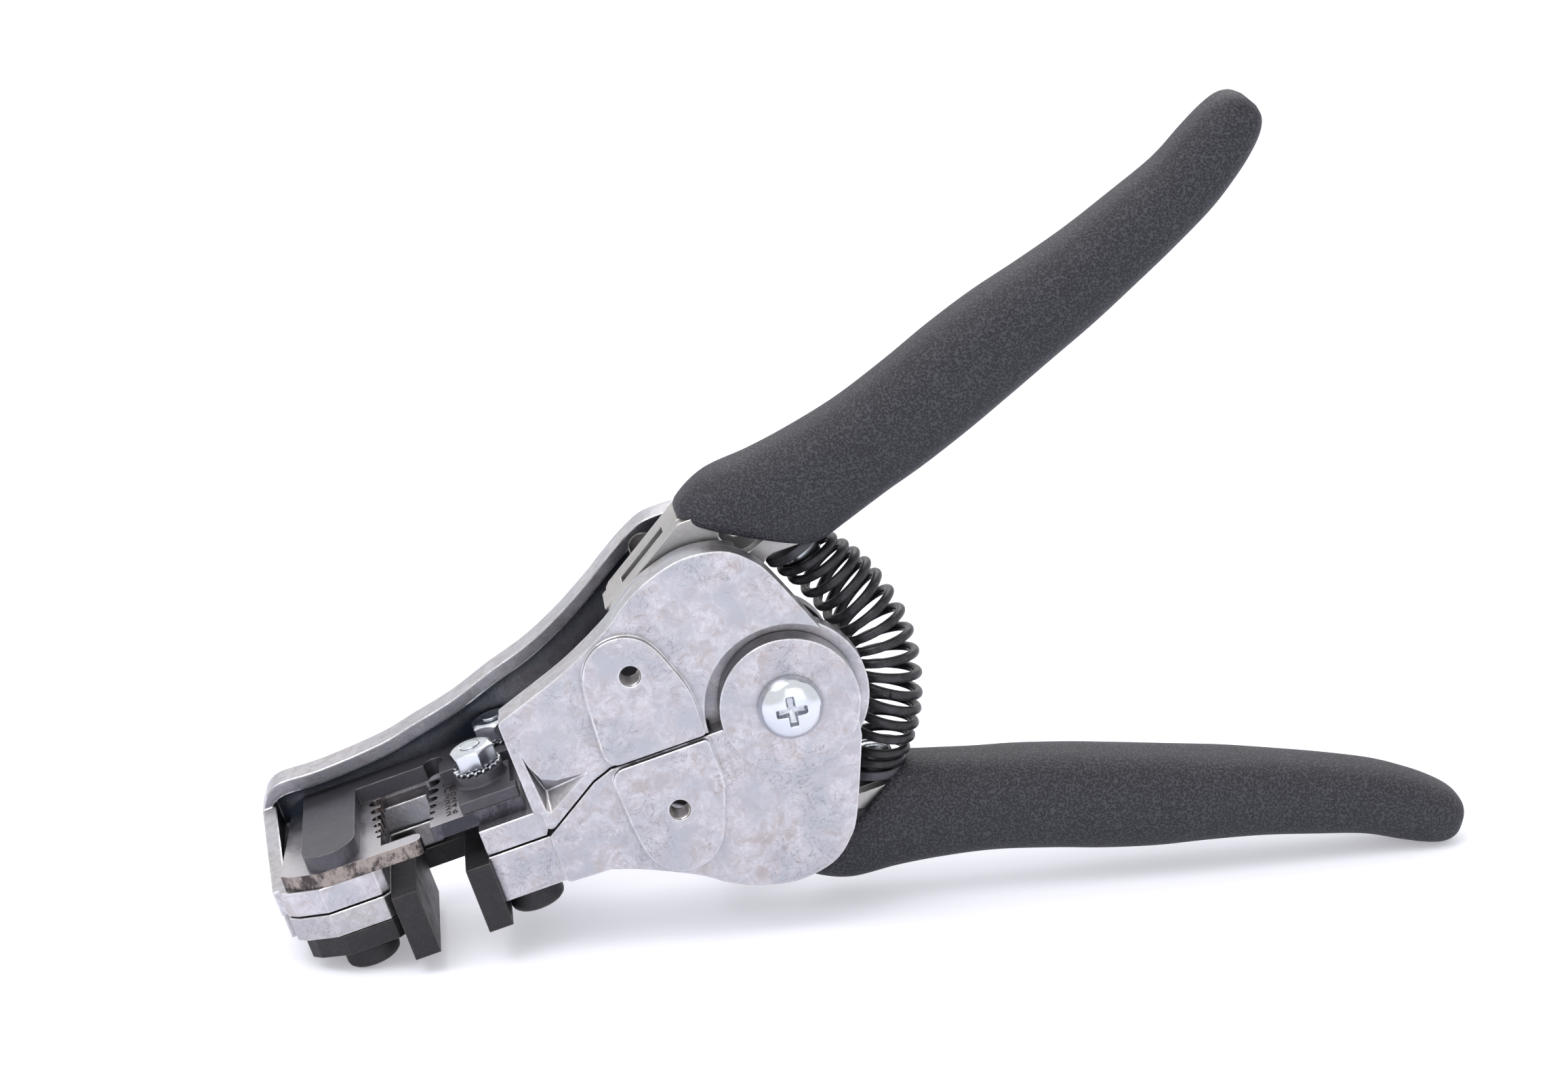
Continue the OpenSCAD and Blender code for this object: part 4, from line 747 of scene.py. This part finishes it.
# %% [markdown]
# ## The clamp of the right blade
# A dark block holds the blade down: a foot that runs out to the blade's near end, and a
# round post for the nut. A flat outline is extruded, and a Bevel modifier breaks its edges,
# because an edge with no width catches no light. The post is turned.


# %% Extruded outlines
def extruded(outline, foot, top):
    """Points at the foot and at the top of an outline, with a wall between each pair of neighbours."""
    flat, n = np.asarray(outline, float), len(outline)
    points = np.concatenate([np.column_stack([flat, np.full(n, h)]) for h in (foot, top)])
    walls = [[k, (k + 1) % n, n + (k + 1) % n, n + k] for k in range(n)]
    return points, [list(range(n))[::-1], list(range(n, 2 * n))] + walls


def soften(piece, width):
    """A Bevel modifier of three segments on edges over 40 degrees, its width in millimetres."""
    bevel = piece.modifiers.new("broken_edges", "BEVEL")
    bevel.width, bevel.segments, bevel.limit_method = width * MM, 3, "ANGLE"
    bevel.angle_limit = math.radians(40)
    return piece


# %% Clamp foot and post
CLAMP_FOOT, CLAMP_TOP, CLAMP_EDGE, POST_R, POST_TOP = -0.48, 1.4, 0.2, 3.8, 3.2
NEAR_STUD, FAR_STUD = (-48.001, -4.0), (-44.596, 8.0)
CLAMP_OUTLINE = [(-51.9, -12), (-42.75, -12), (-42.75, -9.4), (-43.6, -9.4), (-43.6, -0.2), (-51.5, -0.2),
                 (-51.9, -0.6)]
block = make_piece("blade_clamp", *extruded(CLAMP_OUTLINE, CLAMP_FOOT, CLAMP_TOP), black_steel, smooth=False)
fit(soften(block, CLAMP_EDGE), "upper_frame", "blackened_steel", "blade_clamp_block")
POST = [(0.2, 1.2), (POST_R + 0.5, 1.2), (POST_R + 0.2, 1.5), (POST_R, 1.9), (POST_R, POST_TOP - 0.25),
        (POST_R - 0.25, POST_TOP), (0.2, POST_TOP)]
post_rings = lathe(POST, 96, (*NEAR_STUD, 0), (1, 0, 0), (0, 0, 1))
post = make_piece("blade_clamp_post", *closed_mesh(post_rings), black_steel)
sharpen(post, 60)
fit(post, "upper_frame", "blackened_steel", "blade_clamp_block")

# %% [markdown]
# ## Link pins
# Each pin joins a lever to its hook and ends behind the hook in a domed head on a wide
# washer, which also hides the slot that the pin climbs in. Pin, washer and head share one
# axis, so one turned profile gives all three as a single closed piece.

# %% Link pins with their washers: the front end, then washer and head behind the hook
PIN_U, PIN_RISE, WASHER_FOOT = -0.7, 23.7, 16.3
PIN_FRONT = {"upper": -8.15, "lower": -5.55}
PIN_END = [(0.2, 0), (1.6, 0), (1.8, 0.2)]
PIN_HEAD = [(1.8, -1), (5.5, -1), (5.7, -0.8), (5.7, -0.45), (5.5, -0.3), (2.9, -0.3), (2.9, 0.2), (2.6, 0.75),
            (1.8, 1.05), (0.2, 1.15)]
for side, word in ((1, "upper"), (-1, "lower")):
    profile = np.concatenate([np.add(PIN_END, (0, PIN_FRONT[word])), np.add(PIN_HEAD, (0, WASHER_FOOT))])
    rings = lathe(profile, 72, (PIN_U, 0, PIN_RISE), (1, 0, 0), (0, 1, 0))
    piece = make_piece(f"{word}_link", *closed_mesh(handle_to_tool(rings, side)), lever_metal)
    sharpen(piece, 35)
    fit(piece, f"{word}_handle", "lever_steel", f"{word}_link_pin")

# %% [markdown]
# ## Clamp nuts and lock washers
# Two hex nuts hold the blades, each on a toothed washer. A nut is a ring whose outer radius
# follows a hexagon: its top falls away past a circle, so the corners end in the arcs that
# a real chamfer gives. The washer's teeth are cut in its rim and twisted out of its plane.
# A cone taken off a hexagon gives the same arcs, but rings of faces shade more evenly.

# %% Nut shape
NUT_R, NUT_H, BORE_R, BORE_EASE, RING_SIDES = 3.7, 3.0, 1.52, 0.12, 216
CORNER_CUT, FOOT_IN, FOOT_RISE = 0.985, 0.97, 0.25
CHAMFER_FROM, CHAMFER_POWER, CHAMFER_DROP, TOP_RINGS = 0.9, 1.2, 3.04, 12


def nut_rings(around):
    """Rings of a hexagon's radius (R cos 30) / cos(a') at falling, side and rising heights, then the bore."""
    sector = (around + math.pi / 6) % (math.pi / 3) - math.pi / 6
    flat = NUT_R * math.cos(math.pi / 6)
    hexagon = np.minimum(flat / np.cos(sector), NUT_R * CORNER_CUT)
    share, level = np.linspace(0, 1, TOP_RINGS)[:, None], np.zeros_like(around)
    top_r = BORE_R + BORE_EASE + share * (hexagon - BORE_R - BORE_EASE)
    past = np.clip((top_r - flat * CHAMFER_FROM) / NUT_R, 0, 1)
    top_h = NUT_H - BORE_EASE * share - CHAMFER_DROP * past**CHAMFER_POWER
    low_r = np.stack([hexagon, hexagon * FOOT_IN, level + BORE_R + 0.1])
    low_h = np.stack([level + FOOT_RISE, level, level])
    bore_r = np.full((3, len(around)), BORE_R)
    bore_h = np.array([0.1, NUT_H / 2, NUT_H - BORE_EASE])[:, None] + level
    return np.concatenate([top_r, low_r, bore_r]), np.concatenate([top_h, low_h, bore_h])


print("nut across its flats, mm:", round(2 * NUT_R * math.cos(math.pi / 6), 2))

# %% Washer shape
WASHER_T, WASHER_R, WASHER_HALF, TEETH = 0.7, 3.75, 0.21, 18
TOOTH_DEPTH, TOOTH_TWIST, TOOTH_SIDES = 0.62, 0.62, (0.2, 0.3)
WASHER_SHARES = np.array([0.0, 0.55, 0.78, 1.0])[:, None]


def washer_rings(around):
    """Rim radius R - d * tooth(a), with a twist: the height of a tooth runs up from one side to the other."""
    phase = around * TEETH / (2 * math.pi) % 1
    tooth = step(np.abs(phase - 0.5), *TOOTH_SIDES)
    rim = WASHER_R - TOOTH_DEPTH * tooth
    radius = BORE_R + 0.1 + WASHER_SHARES * (rim - BORE_R - 0.1)
    twist = np.clip(WASHER_SHARES - 0.5, 0, 1) * TOOTH_TWIST * (1 - tooth) * (phase - 0.5) * 2
    top, foot = WASHER_T / 2 + twist + WASHER_HALF, WASHER_T / 2 + twist - WASHER_HALF
    return np.concatenate([radius, radius[::-1]]), np.concatenate([top, foot[::-1]])


print("washer across, mm:", 2 * WASHER_R, "teeth:", TEETH)

# %% Nuts and washers in place
NUT_PLACES = {"near": (NEAR_STUD, POST_TOP, "upper_frame", 0.26), "far": (FAR_STUD, 2.2, "upper_hook", 0.1)}
KINDS = (("domed_nut", nut_rings, WASHER_T, "clamp_nut"), ("toothed_washer", washer_rings, 0.0, "lock_washer"))
around = np.linspace(0, 2 * math.pi, RING_SIDES, endpoint=False)
for word, ((u, v), foot, body, turned) in NUT_PLACES.items():
    for kind, shape, lift, plain in KINDS:
        radius, height = shape(around)
        rings = np.stack([u + radius * np.cos(around + turned), v + radius * np.sin(around + turned),
                          foot + lift + height], -1)
        piece = make_piece(f"{word}_{kind}", *closed_mesh(rings, wrap=True), plated)
        sharpen(piece, 28)
        fit(piece, body, "zinc_plated_steel", f"{word}_{plain}")

# %% [markdown]
# ## Threads in the accessory holes
# The two tapped holes show their thread. Each gets a thin sleeve inside the bore whose
# inner radius is a triangle wave of the height less the angle, which is a helix. A Screw
# modifier winds a thread too, but here the thread also fades out at the hole's mouth.

# %% Threaded sleeves
HOLE_R, THREAD_PITCH, THREAD_DEPTH, HOLE_U = 1.66, 0.7, 0.26, -20.8
HOLES = {"upper": (13.1, "upper_frame"), "lower": (-9.6, "lower_frame")}
MOUTH, BOTTOM, LEAD_IN = -15.9, -11.55, 0.5
INSIDE, OUTSIDE = HOLE_R - 0.02, HOLE_R + 0.12
rows = np.linspace(MOUTH, BOTTOM, 100)
around = np.linspace(0, 2 * math.pi, 64, endpoint=False)
wave = np.abs(((rows[:, None] / THREAD_PITCH - around / (2 * math.pi)) % 1) * 2 - 1)
inner = INSIDE - THREAD_DEPTH * wave * step(rows, MOUTH, MOUTH + LEAD_IN)[:, None]
radius = np.concatenate([inner, np.full((2, len(around)), OUTSIDE)])
height = np.concatenate([rows, [BOTTOM, MOUTH]])[:, None] + 0 * around
for word, (w, body) in HOLES.items():
    rings = np.stack([HOLE_U + radius * np.cos(around), height, w + radius * np.sin(around)], -1)
    sleeve = make_piece(f"{word}_hole_thread", *closed_mesh(rings, wrap=True), thread_zinc)
    fit(sleeve, body, "die_cast_zinc")

# %% [markdown]
# ## Gauge numbers
# The right blade carries the wire gauge beside each notch, in thin dark figures that read
# from the jaws' side. They are text turned into one closed mesh, a hair above the steel,
# because a mask in the steel's own material would need an image of the figures.

# %% Gauge numbers on the blade
NUMBERS = {"16": (-53.9, 3.3), "18": (-53.75, 0.7), "20": (-53.75, -1.7), "22": (-53.7, -4.1),
           "24": (-53.65, -6.5), "26": (-53.6, -8.9)}
FIGURE_W, FIGURE_H, FIGURE_FOOT, FIGURE_T = 1.9, 1.7, -0.51, 0.02
TEXT_DEPTH, TEXT_BOLD = 0.02, 0.012


def figures(text):
    """Points and faces of a text's outline, made a mesh, and scaled to one by one about its middle."""
    data = bpy.data.curves.new("figures", "FONT")
    data.body, data.extrude, data.offset = text, TEXT_DEPTH, TEXT_BOLD
    holder = bpy.data.objects.new("figures", data)
    bpy.context.scene.collection.objects.link(holder)
    flat = bpy.data.meshes.new_from_object(holder.evaluated_get(bpy.context.evaluated_depsgraph_get()))
    co = np.empty(len(flat.vertices) * 3)
    flat.vertices.foreach_get("co", co)
    faces = [list(f.vertices) for f in flat.polygons]
    for made, store in ((holder, bpy.data.objects), (data, bpy.data.curves), (flat, bpy.data.meshes)):
        store.remove(made)
    co = co.reshape(-1, 3)
    middle, span = (co.max(0) + co.min(0)) / 2, np.ptp(co, axis=0)
    return (co - middle) / span, faces


points, faces, count = [], [], 0
for text, (u, v) in NUMBERS.items():
    unit, text_faces = figures(text)
    points.append(unit * (FIGURE_W, FIGURE_H, FIGURE_T) + (u, v, FIGURE_FOOT + FIGURE_T))
    faces += [[count + k for k in f] for f in text_faces]
    count += len(unit)

# %% Etched material
INK_GRAIN, INK_DARK, INK_PALE = 2500, (0.014, 0.012, 0.012), (0.05, 0.042, 0.042)
ink, it, ib = start_material("etched_black")
grain = remap(it, noise(it, node(it, "ShaderNodeTexCoord").outputs["Object"], INK_GRAIN), 0.3, 0.7)
it.links.new(blend_colour(it, grain, INK_DARK, INK_PALE), ib.inputs["Base Color"])
it.links.new(remap(it, grain, 0, 1, 0.5, 0.7), ib.inputs["Roughness"])
ib.inputs["Specular IOR Level"].default_value = 0.1

# %% [markdown]
# The text's faces and walls come without shared corners. They are welded, so each figure
# is one closed shell.

# %% Figures welded and fitted
numbers = make_piece("gauge_numbers", np.concatenate(points), faces, ink, smooth=False)
welded = bmesh.new()
welded.from_mesh(numbers.data)
bmesh.ops.remove_doubles(welded, verts=welded.verts, dist=1e-7)
bmesh.ops.recalc_face_normals(welded, faces=welded.faces)
welded.to_mesh(numbers.data)
welded.free()
fit(numbers, "upper_frame", "blackened_steel")

# %% [markdown]
# ## The studio
# A pale floor and a white world, with soft lamps from above. The camera sees white, and so
# do reflections, by Light Path, while the light on the object stays at a plain level. The
# floor adds a little of that white to its own shade, so it still keeps the tool's shadow.

# %% Floor
FLOOR_HALF, FLOOR_DROP, FLOOR_TINT, FLOOR_GLOW = 6.0, 0.0001, (0.80, 0.80, 0.87), (0.33, 0.33, 0.345)


def seen_rays(tree):
    """1 on camera, glossy and transmission rays, and 0 on the rays that light the object."""
    path = node(tree, "ShaderNodeLightPath").outputs
    mirrored = calc(tree, "MAXIMUM", path["Is Glossy Ray"], path["Is Transmission Ray"])
    return calc(tree, "MAXIMUM", path["Is Camera Ray"], mirrored)


floor_mat, ft, fb = start_material("studio_floor")
fb.inputs["Base Color"].default_value = (*FLOOR_TINT, 1)
fb.inputs["Roughness"].default_value = 1.0
fb.inputs["Specular IOR Level"].default_value = 0.0
ft.links.new(blend_colour(ft, seen_rays(ft), (0.0, 0.0, 0.0), FLOOR_GLOW), fb.inputs["Emission Color"])
fb.inputs["Emission Strength"].default_value = 1.0
floor_mesh = bpy.data.meshes.new("studio_floor")
corners = np.array([(-1, -1), (1, -1), (1, 1), (-1, 1)]) * FLOOR_HALF
floor_mesh.from_pydata(np.column_stack([corners, np.full(4, -FLOOR_DROP)]).tolist(), [], [(0, 1, 2, 3)])
floor_mesh.materials.append(floor_mat)
floor = bpy.data.objects.new("studio_floor", floor_mesh)
bpy.context.scene.collection.objects.link(floor)
print("floor, m:", 2 * FLOOR_HALF, "square")

# %% World: a room that is greyer towards the floor lights the object
ROOM_LOW, WHITE, ROOM_HEIGHTS = (0.50, 0.51, 0.55), (1.0, 1.0, 1.0), (-0.2, 0.9)
world = bpy.data.worlds.new("studio")
bpy.context.scene.world = world
world.use_nodes = True
wn = world.node_tree
back = wn.nodes["Background"]
split = node(wn, "ShaderNodeSeparateXYZ")
wn.links.new(node(wn, "ShaderNodeTexCoord").outputs["Generated"], split.inputs[0])
room = blend_colour(wn, remap(wn, split.outputs["Z"], *ROOM_HEIGHTS), ROOM_LOW, WHITE)
wn.links.new(blend_colour(wn, seen_rays(wn), room, WHITE), back.inputs["Color"])
back.inputs["Strength"].default_value = 1.0
print("world:", world.name, "nodes:", len(wn.nodes))


# %% Lamps
def area_lamp(name, at, target, size, watts):
    """A square soft lamp at a point of the row frame, in metres, aimed at another."""
    data = bpy.data.lights.new(name, "AREA")
    data.size, data.energy = size, watts
    lamp = bpy.data.objects.new(name, data)
    bpy.context.scene.collection.objects.link(lamp)
    z = np.array(at, float) - np.array(target, float)
    z /= np.linalg.norm(z)
    x = np.cross((0, 0, 1), z)
    x /= np.linalg.norm(x)
    stand = np.eye(4)
    stand[:3] = np.column_stack([x, np.cross(z, x), z, at])
    lamp.matrix_world = Matrix(stand.tolist())


LAMPS = (("key", (-0.35, -0.25, 0.75), (0, 0, 0.04), 0.5, 2.6),
         ("back", (0.1, 0.6, 0.6), (0, 0, 0.03), 0.6, 2.2),
         ("front", (0.2, -0.9, 0.35), (0, 0, 0.05), 0.7, 1.0))
for lamp in LAMPS:
    area_lamp(*lamp)
bpy.context.scene.view_settings.view_transform = "Standard"
print("lamps, watts:", {name: watts for name, *_, watts in LAMPS})
